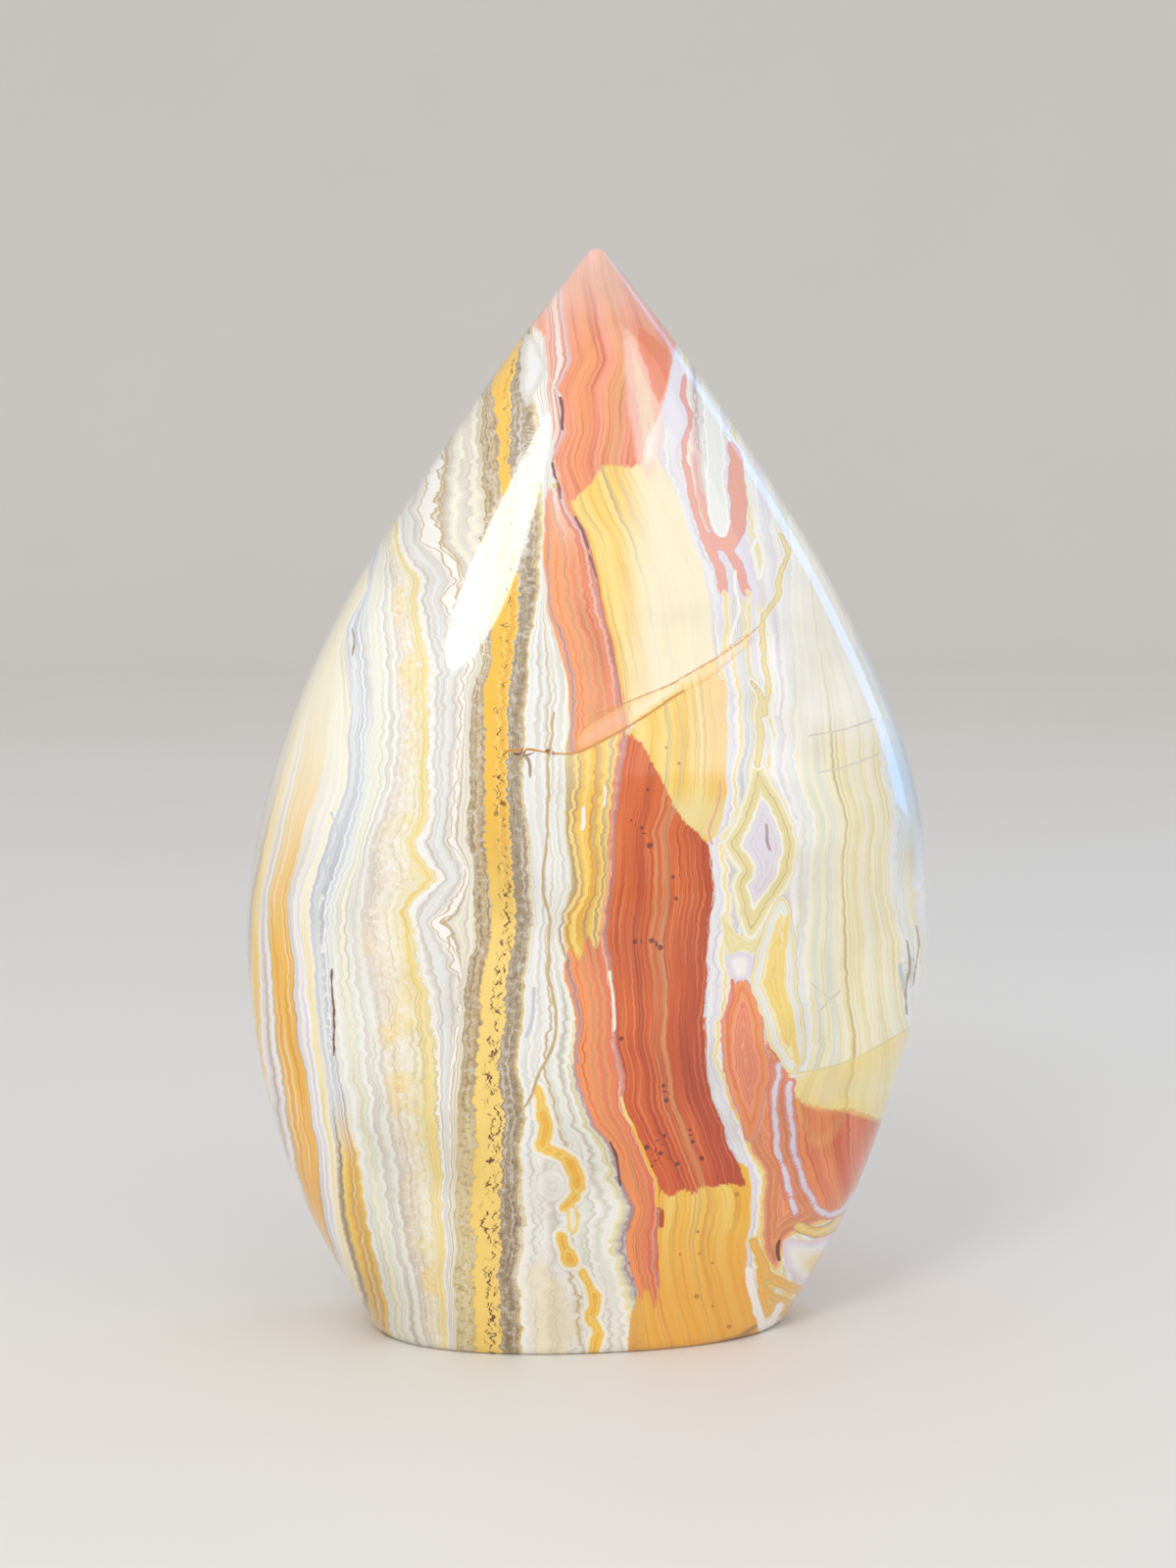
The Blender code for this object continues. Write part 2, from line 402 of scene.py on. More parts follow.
IRON_PATCHES = [
    [
        (650, 215), (560, 215), (530, 325), (556, 342), (560, 400), (566, 470), (574, 503),
        (583, 516), (606, 490), (616, 474), (654, 478), (662, 440), (672, 425), (680, 400),
        (686, 365), (700, 330),
    ],
    [
        (556, 500), (575, 497), (599, 546), (610, 582), (618, 633), (630, 675), (635, 718),
        (642, 744), (620, 752), (602, 764), (586, 769), (579, 766), (584, 727), (579, 680),
        (560, 640), (555, 560),
    ],
    [
        (640, 744), (657, 762), (679, 803), (694, 837), (716, 853), (726, 866), (730, 917),
        (725, 941), (720, 977), (724, 996), (718, 1062), (724, 1115), (739, 1151), (752, 1183),
        (762, 1212), (740, 1207), (728, 1212), (718, 1208), (708, 1219), (697, 1212),
        (688, 1222), (676, 1217), (656, 1178),
        (642, 1147), (631, 1122), (633, 1107), (626, 1059), (624, 1012), (620, 987),
        (616, 943), (623, 892), (624, 841), (630, 790),
    ],
    [
        (575, 990), (584, 962), (592, 985), (601, 948), (610, 972), (619, 940), (626, 985),
        (630, 1059), (638, 1107), (635, 1122), (646, 1147), (659, 1178),
        (675, 1210), (672, 1234), (669, 1259), (673, 1303),
        (668, 1342), (660, 1312), (653, 1330), (644, 1303),
        (634, 1265), (644, 1230), (633, 1207), (624, 1174), (604, 1147), (586, 1096), (589, 1046),
    ],
    [
        (807, 1116), (828, 1128), (846, 1132), (861, 1131), (880, 1136), (897, 1141),
        (970, 1152), (930, 1255), (868, 1228), (856, 1232), (843, 1238), (829, 1225),
        (819, 1202), (810, 1170), (806, 1140),
    ],
]
GOLD_PATCHES = [
    [
        (560, 500), (575, 480), (600, 460), (654, 462), (676, 474), (688, 498), (696, 523),
        (701, 546), (716, 579), (725, 610), (728, 640), (731, 668), (735, 690), (666, 722),
        (640, 742), (633, 718), (627, 675), (614, 633), (606, 582), (594, 550),
    ],
    [
        (636, 752), (666, 722), (700, 700), (728, 688), (740, 690), (742, 740), (741, 798),
        (738, 825), (728, 860), (700, 862), (680, 845), (660, 800), (640, 765),
    ],
    [
        (665, 1190), (697, 1200), (718, 1195), (736, 1190), (762, 1185), (766, 1221),
        (761, 1261), (762, 1289), (772, 1325), (780, 1350), (790, 1400), (640, 1400),
        (645, 1325), (660, 1300), (664, 1259), (664, 1225),
    ],
    [
        (578, 748), (604, 740), (628, 735), (640, 740), (635, 790), (629, 841), (628, 892),
        (622, 943), (626, 1000), (580, 1000), (576, 945), (580, 915), (584, 886), (576, 853),
        (576, 800),
    ],
]

# Lace that follows its own lines: softness, strength, outlines or lanes, and the colours
# by depth inside the edge. An outline is closed; a lane is half of a width and a line.

LACE = {
    "blush_veil": (4.0, 0.62, [
        [
            (638, 335), (650, 348), (662, 372), (672, 400), (677, 430), (674, 470), (662, 492),
            (650, 470), (645, 440), (639, 400),
        ],
    ], [(0, "blush"), (7, "blush"), (11, "bone")]),
    "lilac_slope": (3.0, 0.7, [
        [
            (682, 352), (702, 378), (706, 400), (701, 440), (699, 470), (690, 455), (677, 430),
            (674, 415), (682, 390),
        ],
    ], [(0, "lilac"), (9, "lilac")]),
    "red_wedge": (1.0, 0.8, [
        [
            (652, 330), (672, 345), (688, 362), (682, 390), (673, 415), (664, 398), (660, 378),
            (651, 352),
        ],
    ], [(0, "salmon"), (2, "coral"), (12, "coral")]),
    "ash_patch": (1.5, 0.9, [
        [
            (531, 336), (545, 345), (553, 358), (558, 374), (553, 392), (544, 405), (537, 420),
            (531, 400),
        ],
    ], [(0, "ash"), (3, "ash"), (8, "mist")]),
    "lower_cream": (2.5, 0.62, [
        [
            (806, 1100), (841, 1090), (873, 1081), (897, 1067), (931, 1047), (970, 1035),
            (970, 1160), (897, 1145), (861, 1135), (825, 1132), (812, 1118),
        ],
    ], [(0, "honey"), (10, "honey"), (40, "straw")]),
    "corner_veil": (7.0, 0.35, [
        [(806, 1108), (830, 1126), (862, 1134), (852, 1160), (832, 1172), (818, 1150)],
    ], [(0, "honey"), (10, "apricot")]),
    "coral_lace": (0.8, 1.0, [
        [
            (736, 1075), (746, 1128), (757, 1148), (770, 1178), (779, 1198), (778, 1222),
            (774, 1256), (782, 1284), (794, 1300), (798, 1276), (801, 1261), (818, 1254),
            (842, 1246), (866, 1230), (850, 1237), (838, 1235), (826, 1219), (816, 1197),
            (810, 1164), (806, 1134), (805, 1100), (800, 1075), (790, 1062), (770, 1070),
            (752, 1062),
        ],
    ], [
        (-2.5, "bone"), (-1, "gold"), (0.5, "honey"), (1.5, "rose"), (3, "salmon"),
        (4.5, "fox"), (6, "coral"), (7, "fox"), (10, "apricot"), (11, "coral"),
        (12, "fox"), (16, "apricot"), (17, "coral"), (18, "salmon"), (22, "apricot"),
    ]),
    "hook_outer": (0.8, 1.0, [
        (2.7, [
            (795, 1086), (793, 1115), (792, 1134), (794, 1170), (799, 1195), (805, 1215),
            (810, 1238),
        ]),
    ], [(-3, "coral"), (-1.4, "rose"), (-0.2, "rose"), (0.8, "lilac"), (2.7, "lilac")]),
    "hook_inner": (0.8, 1.0, [
        (2.7, [
            (806, 1105), (807, 1134), (810, 1164), (816, 1197), (824, 1219), (835, 1236),
            (848, 1240), (860, 1234), (872, 1218),
        ]),
    ], [(-3, "coral"), (-1.4, "rose"), (-0.2, "rose"), (0.8, "lilac"), (2.7, "lilac")]),
    "olive_hammock": (0.7, 1.0, [
        (5.0, [(813, 1252), (827, 1258), (840, 1257), (852, 1250), (864, 1240)]),
    ], [(-1, "mauve"), (0, "tan"), (1.5, "gold"), (3, "olive"), (5, "honey")]),
    "milk_pocket": (1.5, 0.92, [
        [
            (797, 1263), (812, 1266), (830, 1266), (850, 1258), (880, 1262), (835, 1330),
            (818, 1312), (803, 1298), (798, 1282),
        ],
    ], [(0, "blush"), (3, "lilac"), (10, "milk"), (20, "bone")]),
    "pocket_glow": (6.0, 0.6, [
        [(818, 1292), (834, 1276), (850, 1280), (842, 1310), (828, 1312)],
    ], [(0, "honey"), (8, "gold")]),
    "foot_lace": (0.8, 0.92, [
        (5.2, [(769, 1268), (778, 1290), (788, 1304), (802, 1312), (818, 1318), (836, 1322)]),
        (5.2, [(778, 1296), (782, 1318), (796, 1326), (810, 1330), (826, 1342)]),
        (5.2, [(779, 1320), (783, 1342), (792, 1332), (804, 1338), (806, 1352)]),
    ], [(-0.6, "honey"), (0.8, "gold"), (1.8, "tan"), (2.8, "gold"), (5.2, "ochre")]),
    "white_foot": (1.2, 1.0, [
        (4.4, [(765, 1296), (773, 1328), (783, 1364)]),
        (3.2, [(783, 1364), (791, 1346), (798, 1333)]),
    ], [(-0.5, "blush"), (0.8, "milk"), (5, "milk")]),
    "spindle": (0.8, 1.0, [
        [
            (755, 1000), (744, 1030), (737, 1054), (739, 1085), (747, 1112), (757, 1140),
            (765, 1166), (774, 1150), (783, 1112), (785, 1090), (777, 1050), (770, 1015),
            (763, 1001),
        ],
    ], [
        (-3, "lilac"), (-2, "coral"), (-0.8, "rose"), (0.8, "apricot"), (4.5, "apricot"),
        (5.5, "coral"), (7, "apricot"), (10.5, "salmon"), (11.5, "coral"), (13, "salmon"),
        (16, "coral"), (20, "salmon"),
    ]),
    "vee": (0.9, 1.0, [
        [
            (738, 930), (748, 950), (762, 962), (772, 956), (780, 940), (776, 962), (769, 973),
            (757, 968), (740, 976),
        ],
    ], [(-1.5, "bone"), (0, "straw"), (1.5, "olive"), (4, "straw")]),
    "lilac_rest": (1.5, 0.9, [
        [(740, 976), (757, 970), (769, 974), (768, 990), (763, 1001), (750, 1001), (742, 992)],
    ], [(0, "lilac"), (3, "lilac"), (8, "milk")]),
    "pocket": (0.9, 1.0, [
        [
            (775, 774), (766, 805), (757, 833), (748, 850), (741, 863), (751, 877), (757, 889),
            (751, 902), (756, 922), (760, 940), (765, 956), (773, 946), (785, 925), (801, 902),
            (807, 878), (809, 857), (803, 836), (795, 818), (785, 800),
        ],
    ], [
        (-6, "mist"), (-4.5, "straw"), (-3, "milk"), (-0.8, "straw"), (0.8, "olive"),
        (3.0, "straw"), (4.0, "tan"), (5.0, "olive"), (9.6, "olive"), (10.6, "bone"), (12.5, "milk"),
        (15, "lilac"), (30, "lilac"),
    ]),
    "lance": (0.8, 1.0, [
        [
            (798, 912), (785, 935), (775, 960), (770, 985), (768, 1005), (774, 1026),
            (778, 1041), (785, 1058), (792, 1072), (798, 1086), (806, 1096), (813, 1092),
            (820, 1080), (821, 1060), (818, 1038), (813, 1010), (810, 985), (809, 960),
            (808, 935), (803, 920),
        ],
    ], [
        (-1.5, "mauve"), (-0.6, "bone"), (0.5, "straw"), (1.6, "honey"), (2.4, "mist"),
        (7, "mist"), (8, "milk"), (9.2, "honey"), (10.6, "bone"), (14, "honey"),
    ]),
    "grey_sleeve": (1.0, 0.9, [
        (4.6, [(708, 372), (710, 410), (709, 440), (713, 480), (721, 515), (728, 540)]),
    ], [(-1, "milk"), (0, "ash"), (2.4, "ash"), (3.4, "mauve"), (4.6, "ash")]),
    "pink_sleeve": (3.5, 0.8, [
        (2.0, [(707, 436), (708, 466)]),
        (4.5, [(708, 464), (711, 485), (714, 502)]),
        (7.0, [(714, 504), (719, 520), (727, 542)]),
    ], [(0, "blush"), (4, "rose"), (7, "salmon")]),
    "lilac_web": (3.5, 0.7, [
        [(722, 540), (740, 556), (764, 545), (784, 600), (784, 622), (762, 612), (736, 606)],
    ], [(0, "lilac"), (8, "lilac")]),
    "coral_sleeve": (1.0, 0.92, [
        (1.5, [(699, 385), (697, 405), (706, 428), (697, 447), (697, 465), (703, 485)]),
        (2.4, [(702, 480), (709, 515), (716, 540), (724, 560)]),
        (3.8, [(718, 545), (727, 565), (736, 587), (739, 602)]),
        (3.8, [(740, 558), (749, 573), (757, 588), (763, 604)]),
        [
            (741, 450), (752, 458), (757, 480), (760, 500), (761, 530), (757, 548), (749, 560),
            (740, 563), (730, 557), (722, 545), (728, 541), (735, 548), (743, 544), (747, 532),
            (747, 515), (745, 495), (744, 470),
        ],
    ], [
        (-2, "lilac"), (-0.8, "rose"), (0.6, "rose"), (1.8, "salmon"), (2.8, "rose"),
        (3.8, "salmon"), (5, "rose"), (7, "salmon"),
    ]),
    "honey_legs": (0.9, 0.9, [
        (1.8, [(740, 604), (743, 635), (740, 660), (735, 690)]),
        (1.8, [(765, 604), (767, 640), (759, 662)]),
    ], [(-1, "milk"), (0.2, "straw"), (1.8, "honey")]),
    "finger": (0.8, 1.0, [
        [
            (716, 375), (718, 440), (721, 480), (723, 515), (727, 540), (734, 549), (741, 546),
            (745, 532), (742, 508), (739, 480), (737, 450), (735, 425), (730, 385),
        ],
    ], [(-1, "ash"), (0.3, "milk"), (1.8, "milk"), (2.6, "mist"), (8, "mist")]),
    "diamond": (0.7, 1.0, [
        [(773, 544), (764, 562), (769, 583), (776, 594), (780, 575), (779, 558)],
    ], [(-1, "ash"), (0.2, "milk"), (3.6, "milk"), (4.6, "straw")]),
    "fault_band": (1.0, 0.38, [
        [
            (588, 769), (612, 758), (640, 743), (666, 726), (700, 704), (727, 690), (772, 654),
            (764, 646), (727, 672), (679, 700), (640, 716), (605, 735), (585, 755),
        ],
    ], [(0, "rust"), (1.2, "apricot"), (3, "honey"), (9, "bone")]),
    "fault_root": (3.0, 0.45, [
        [(588, 769), (612, 758), (640, 743), (642, 716), (605, 735), (585, 755)],
    ], [(0, "rust"), (2, "apricot"), (8, "apricot")]),
    "olive_line": (0.8, 0.9, [
        (2.2, [
            (797, 546), (805, 566), (796, 582), (795, 610), (781, 628), (778, 643), (782, 665),
            (782, 700), (783, 730),
        ]),
        (1.8, [(765, 696), (776, 710), (779, 730)]),
        (2.8, [(777, 722), (774, 750), (775, 780)]),
    ], [
        (-2.5, "bone"), (-1.2, "milk"), (-0.3, "tan"), (0.5, "olive"), (1.4, "honey"),
        (2.2, "olive"),
    ]),
    "honey_druzy": (9.0, 0.28, [
        [
            (536, 1290), (556, 1290), (576, 1312), (586, 1350), (578, 1400), (548, 1400),
            (540, 1345),
        ],
    ], [(0, "honey"), (20, "honey")]),
    "eye": (3.0, 0.7, [
        [
            (564, 1194), (572, 1196), (579, 1203), (580, 1211), (577, 1219), (569, 1225),
            (560, 1225), (552, 1220), (548, 1211), (550, 1202), (556, 1196),
        ],
    ], [(-2, "ash"), (1, "milk"), (4, "milk"), (6, "mist"), (8, "milk"), (11, "sage"), (13, "milk")]),
    "squiggle": (0.9, 1.0, [
        (3.8, [(547, 1112), (549, 1124), (551, 1132)]),
        (6.2, [(552, 1136), (557, 1150), (554, 1166)]),
        (4.4, [(554, 1171), (566, 1176), (578, 1182)]),
        (6.6, [(582, 1187), (591, 1200), (589, 1211)]),
        (3.8, [(588, 1218), (581, 1226), (575, 1231)]),
        (4.8, [(573, 1262), (576, 1275)]),
        (6.6, [(580, 1281), (583, 1287)]),
        (3.0, [(595, 1299), (602, 1314)]),
        (5.2, [(604, 1320), (607, 1331), (603, 1341)]),
        (3.6, [(602, 1346), (609, 1356)]),
        (5.0, [(610, 1362), (606, 1378), (606, 1394)]),
    ], [
        (-6, "ash"), (-4.5, "milk"), (-2, "bone"), (-0.6, "honey"), (0.6, "gold"),
        (2.2, "honey"), (3.2, "gold"), (5.2, "gold"), (6.6, "ochre"),
    ]),
    "bright_blob": (2.0, 0.92, [
        (3.8, [(583, 1236), (586, 1244), (585, 1252)]),
    ], [(-2.4, "honey"), (0.2, "honey"), (1.6, "bone"), (3.8, "milk")]),
    "stain": (2.5, 0.5, [
        (2.6, [(700, 1383), (730, 1376), (756, 1366), (772, 1354)]),
    ], [(0, "umber"), (3, "umber")]),
}

# Single lines: colour, half of the width, and the points (across, down)

STROKES = [
    ("rust", 1.1, [
        (515, 767), (535, 764), (560, 768), (588, 769), (612, 758), (636, 744), (648, 737),
        (666, 725), (684, 712), (697, 704),
    ]),
    ("rust", 0.5, [(600, 733), (640, 716), (679, 701), (727, 673), (761, 653), (775, 640)]),
    ("smoke", 1.6, [(520, 785), (524, 774), (534, 770), (540, 779), (540, 792)]),
    ("ash", 0.8, [(555, 342), (557, 378), (565, 392), (573, 403)]),
    ("ash", 0.8, [(826, 751), (860, 745), (894, 733)]),
    ("ash", 0.7, [(835, 788), (868, 782), (900, 768)]),
    ("ash", 0.7, [(828, 1003), (855, 1026)]),
    ("ash", 0.7, [(835, 1032), (858, 1010)]),
    ("olive", 1.0, [(810, 1096), (841, 1090), (873, 1081), (897, 1067), (931, 1047)]),
    ("tan", 1.5, [
        (566, 727), (559, 767), (558, 800), (558, 840), (556, 885), (556, 910), (561, 940),
        (562, 996), (567, 1040), (567, 1065), (548, 1100), (535, 1129),
    ]),
    ("steel", 1.8, [(547, 1008), (544, 1028), (542, 1044), (537, 1058)]),
    ("umber", 1.0, [(338, 990), (340, 1020), (341, 1050), (341, 1077)]),
    ("umber", 1.2, [(622, 1166), (630, 1184), (634, 1210)]),
    ("liver", 1.7, [(794, 1266), (793, 1276), (795, 1286)]),
    ("coral", 1.0, [(787, 1080), (786, 1120), (788, 1160), (794, 1195), (800, 1225)]),
    ("honey", 1.2, [(796, 936), (787, 962), (784, 990), (788, 1015), (796, 1040), (801, 1062)]),
    ("mauve", 1.4, [(781, 842), (780, 856), (783, 868)]),
    ("honey", 2.4, [
        (804, 936), (799, 965), (797, 990), (801, 1018), (808, 1045), (812, 1070), (812, 1084),
    ]),
    ("plum", 1.5, [(572, 404), (574, 420), (573, 438)]),
    ("plum", 1.3, [(564, 472), (565, 484)]),
    ("plum", 1.3, [(569, 492), (573, 510)]),
    ("plum", 1.7, [(588, 529), (595, 544), (600, 558)]),
    ("plum", 1.0, [(602, 566), (609, 588)]),
    # Painted highlights: two small white glints on the gold bands
    ("milk", 1.8, [(595, 824), (594, 846)]),
    ("milk", 1.3, [(617, 802), (616, 822)]),
    ("milk", 1.6, [(749, 582), (752, 605), (757, 622), (749, 640), (746, 656)]),
    ("smoke", 1.2, [(924, 960), (930, 985), (923, 1010), (926, 1035)]),
    ("steel", 2.0, [(919, 984), (922, 1010)]),
    ("smoke", 0.8, [(935, 945), (937, 975), (932, 1005)]),
    ("steel", 1.2, [(338, 830), (346, 848), (342, 862), (330, 880), (335, 900)]),
    ("smoke", 1.0, [(359, 640), (361, 655), (358, 668)]),
    ("milk", 1.5, [(771, 487), (773, 520), (773, 552)]),
    ("milk", 1.6, [(790, 647), (793, 690), (796, 729)]),
    ("milk", 1.6, [(784, 740), (788, 770), (796, 800), (811, 840)]),
    ("ember", 2.4, [(675, 1236), (673, 1251)]),
    ("bone", 1.6, [(623, 992), (625, 1020), (626, 1052)]),
    ("rose", 1.5, [(626, 1060), (630, 1084), (634, 1108)]),
    ("honey", 1.7, [(633, 1120), (637, 1134), (645, 1148)]),
    ("gold", 1.7, [(645, 1148), (658, 1180), (672, 1210), (671, 1230)]),
    ("coral", 1.6, [(748, 1000), (752, 1015), (744, 1035), (741, 1060), (744, 1085), (752, 1110)]),
    ("rose", 0.9, [(734, 796), (732, 820), (722, 846), (727, 862)]),
]

# Dark dots: across, down and radius

DOTS = [
    (661, 806, 1.5), (655, 845, 1.8), (663, 863, 3.2), (687, 895, 2.0), (690, 917, 2.0),
    (648, 961, 2.2), (665, 960, 2.8), (674, 967, 2.8), (644, 837, 1.2), (634, 1060, 2.6),
    (677, 1108, 2.0), (680, 1123, 2.6), (660, 1171, 2.8), (674, 1177, 2.4), (691, 1188, 2.4),
    (678, 1159, 1.8), (707, 1165, 2.2), (716, 1182, 2.7), (665, 1190, 1.4), (704, 1153, 1.4),
    (680, 763, 1.3), (693, 779, 1.6), (712, 1257, 1.6), (714, 1279, 1.3), (694, 1280, 1.3),
    (727, 1289, 1.4), (711, 1323, 2.6), (727, 1333, 1.3), (752, 1219, 2.2), (744, 1354, 2.4),
]


# Helpers


def linear(hex_code):
    """A colour as Blender wants it, from six hex digits as a screen shows it."""
    parts = [int(hex_code[i : i + 2], 16) / 255 for i in (0, 2, 4)]
    return tuple(p / 12.92 if p <= 0.04045 else ((p + 0.055) / 1.055) ** 2.4 for p in parts)


def spline_through(knots, values, at):
    """The values of a natural cubic spline, the same as the solid's, at the given heights."""
    spans = np.diff(knots)
    slopes = np.diff(values) / spans
    size = len(knots)
    matrix = np.eye(size)
    right = np.zeros(size)
    for i in range(1, size - 1):
        matrix[i, i - 1 : i + 2] = spans[i - 1], 2 * (spans[i - 1] + spans[i]), spans[i]
        right[i] = 6 * (slopes[i] - slopes[i - 1])
    bends = np.linalg.solve(matrix, right)
    i = np.clip(np.searchsorted(knots, at) - 1, 0, size - 2)
    before, after = at - knots[i], knots[i + 1] - at
    cubic = (bends[i] * after**3 + bends[i + 1] * before**3) / (6 * spans[i])
    low = (values[i] / spans[i] - bends[i] * spans[i] / 6) * after
    high = (values[i + 1] / spans[i] - bends[i + 1] * spans[i] / 6) * before
    return cubic + low + high


def line_through(points, at):
    """A smooth line through (down, across) points, flat beyond its ends."""
    down, across = np.array(points, float).T
    slope = np.gradient(across, down) if len(down) > 2 else np.zeros(len(down))
    at = np.clip(at, down[0], down[-1])
    i = np.clip(np.searchsorted(down, at) - 1, 0, len(down) - 2)
    span = down[i + 1] - down[i]
    t = (at - down[i]) / span
    return (
        (2 * t**3 - 3 * t**2 + 1) * across[i]
        + (t**3 - 2 * t**2 + t) * span * slope[i]
        + (3 * t**2 - 2 * t**3) * across[i + 1]
        + (t**3 - t**2) * span * slope[i + 1]
    )


def ripple(across, down, seed):
    """Smooth noise between -1 and 1 over the plane, one bump to each unit."""
    size = 64
    table = np.random.default_rng(seed).uniform(-1, 1, (size, size))
    column, row = np.floor(across).astype(int), np.floor(down).astype(int)
    a, b = across - column, down - row
    a, b = a * a * (3 - 2 * a), b * b * (3 - 2 * b)

    def corner(i, j):
        return table[(column + i) % size, (row + j) % size]

    low = corner(0, 0) * (1 - a) + corner(1, 0) * a
    high = corner(0, 1) * (1 - a) + corner(1, 1) * a
    return low * (1 - b) + high * b


def offset_to_line(across, down, points):
    """The step from each place to the nearest point of an open line, and its length."""
    best = np.full(len(across), 1e9)
    step = np.zeros((len(across), 2))
    for (x0, y0), (x1, y1) in zip(points, points[1:]):
        run, drop = x1 - x0, y1 - y0
        t = np.clip(((across - x0) * run + (down - y0) * drop) / (run**2 + drop**2), 0, 1)
        dx, dy = x0 + t * run - across, y0 + t * drop - down
        length = np.hypot(dx, dy)
        nearer = length < best
        best = np.where(nearer, length, best)
        step[nearer] = np.stack([dx, dy], 1)[nearer]
    return step, best


def rounded(points, closed):
    """The same outline with its corners cut."""
    points = np.array(points, float)
    following = np.roll(points, -1, 0) if closed else points[1:]
    leading = points if closed else points[:-1]
    rest = 1 - CORNER_CUT
    cut = np.stack([leading * rest + following * CORNER_CUT, leading * CORNER_CUT + following * rest], 1)
    cut = cut.reshape(-1, 2)
    return cut if closed else np.concatenate([points[:1], cut, points[-1:]])


def near(across, down, points, reach):
    """Marks the places that lie within reach of the points' own box."""
    low, high = np.min(points, 0) - reach, np.max(points, 0) + reach
    return (across > low[0]) & (across < high[0]) & (down > low[1]) & (down < high[1])


def depth_inside(across, down, outline):
    """How far each place lies inside a closed outline; less than 0 outside, and never below -FAR."""
    outline = rounded(outline, True)
    result = np.full(len(across), -FAR)
    here = near(across, down, outline, FAR)
    x, y = across[here], down[here]
    closed = np.concatenate([outline, outline[:1]])
    _, length = offset_to_line(x, y, closed)
    inside = np.zeros(len(x), bool)
    for (x0, y0), (x1, y1) in zip(closed, closed[1:]):
        if y0 != y1:
            crosses = (y0 > y) != (y1 > y)
            inside ^= crosses & (x < x0 + (y - y0) * (x1 - x0) / (y1 - y0))
    result[here] = np.where(inside, length, -np.minimum(length, FAR))
    return result


def depth_in_lane(across, down, half_width, points):
    """How far each place lies inside a band of even width that follows a line."""
    points = rounded(points, False)
    result = np.full(len(across), -FAR)
    here = near(across, down, points, FAR)
    _, length = offset_to_line(across[here], down[here], points)
    result[here] = np.maximum(half_width - length, -FAR)
    return result


def depth_in_any(across, down, shapes):
    """The greatest depth in any of several outlines or lanes."""
    depths = []
    for shape in shapes:
        if isinstance(shape, tuple):
            depths.append(depth_in_lane(across, down, *shape))
        else:
            depths.append(depth_inside(across, down, shape))
    return np.max(depths, 0)


class Bench:
    """Adds nodes to a tree and joins them, so that a formula reads in order."""

    def __init__(self, tree):
        self.tree = tree

    def put(self, kind, inputs=None, **settings):
        """Adds a node, gives it its settings and feeds its inputs."""
        node = self.tree.nodes.new(kind)
        for name, value in settings.items():
            setattr(node, name, value)
        for socket, value in (inputs or {}).items():
            self.feed(node.inputs[socket], value)
        return node

    def feed(self, socket, value):
        """Joins an input to another node's output, or gives it a plain value."""
        if isinstance(value, bpy.types.NodeSocket):
            self.tree.links.new(value, socket)
        else:
            socket.default_value = value

    def math(self, operation, *values, clamp=False):
        """The result of one step of arithmetic."""
        inputs = dict(enumerate(values))
        return self.put("ShaderNodeMath", inputs, operation=operation, use_clamp=clamp).outputs[0]

    def plus(self, a, b):
        return self.math("ADD", a, b)

    def minus(self, a, b):
        return self.math("SUBTRACT", a, b)

    def times(self, a, b):
        return self.math("MULTIPLY", a, b)

    def scaled(self, value, factor, shift):
        """The value times the factor, plus the shift."""
        return self.math("MULTIPLY_ADD", value, factor, shift)

    def rise(self, value, low, high, bottom=0.0, top=1.0):
        """From bottom to top, smoothly, as the value goes from low to high."""
        inputs = {0: value, 1: low, 2: high, 3: bottom, 4: top}
        return self.put("ShaderNodeMapRange", inputs, interpolation_type="SMOOTHSTEP").outputs[0]

    def point(self, x, y, z=0.0):
        """A vector from its parts."""
        return self.put("ShaderNodeCombineXYZ", {0: x, 1: y, 2: z}).outputs[0]

    def parts(self, vector):
        """The three parts of a vector."""
        return self.put("ShaderNodeSeparateXYZ", {0: vector}).outputs

    def length(self, vector):
        """The length of a vector."""
        return self.put("ShaderNodeVectorMath", {0: vector}, operation="LENGTH").outputs[1]

    def blend(self, factor, below, above, mode="MIX"):
        """One colour laid over another: none of it at factor 0, all of it at 1."""
        inputs = {0: factor, 6: below, 7: above}
        settings = {"data_type": "RGBA", "blend_type": mode, "clamp_factor": True}
        return self.put("ShaderNodeMix", inputs, **settings).outputs[2]

    def noise(self, vector, scale, detail=2.0, roughness=0.5):
        """Smooth noise around 0.5."""
        inputs = {"Vector": vector, "Scale": scale, "Detail": detail, "Roughness": roughness}
        return self.put("ShaderNodeTexNoise", inputs).outputs[0]

    def ramp(self, value, stops, colours):
        """The colour at a value, from (value, colour name) stops."""
        first, last = stops[0][0], stops[-1][0]
        place = self.put("ShaderNodeMapRange", {0: value, 1: first, 2: last}).outputs[0]
        node = self.put("ShaderNodeValToRGB", {0: place})
        elements = node.color_ramp.elements
        for i, (at, name) in enumerate(stops):
            spot = (at - first) / (last - first)
            element = elements[i] if i < 2 else elements.new(spot)
            element.position = spot
            element.color = colours[name]
        return node.outputs[0]


def placed(name, data):
    """A new object in the scene, at the origin."""
    thing = bpy.data.objects.new(name, data)
    bpy.context.scene.collection.objects.link(thing)
    return thing


def blank_material(name):
    """A material without nodes, and the bench to build it on."""
    material = bpy.data.materials.new(name)
    material.use_nodes = True
    material.node_tree.nodes.clear()
    return material, Bench(material.node_tree)


def surfaced(bench, inputs):
    """Ends a material with its surface."""
    shader = bench.put("ShaderNodeBsdfPrincipled", inputs)
    bench.put("ShaderNodeOutputMaterial", {0: shader.outputs[0]})


# Settings


def swatch(key):
    """The setting for one of the rock's colours, or for the painted rim sheen."""
    name, description, code = ROCK_COLOURS[key]
    return FloatVectorProperty(
        name=name, description=description, default=linear(code), subtype="COLOR", min=0, max=1
    )


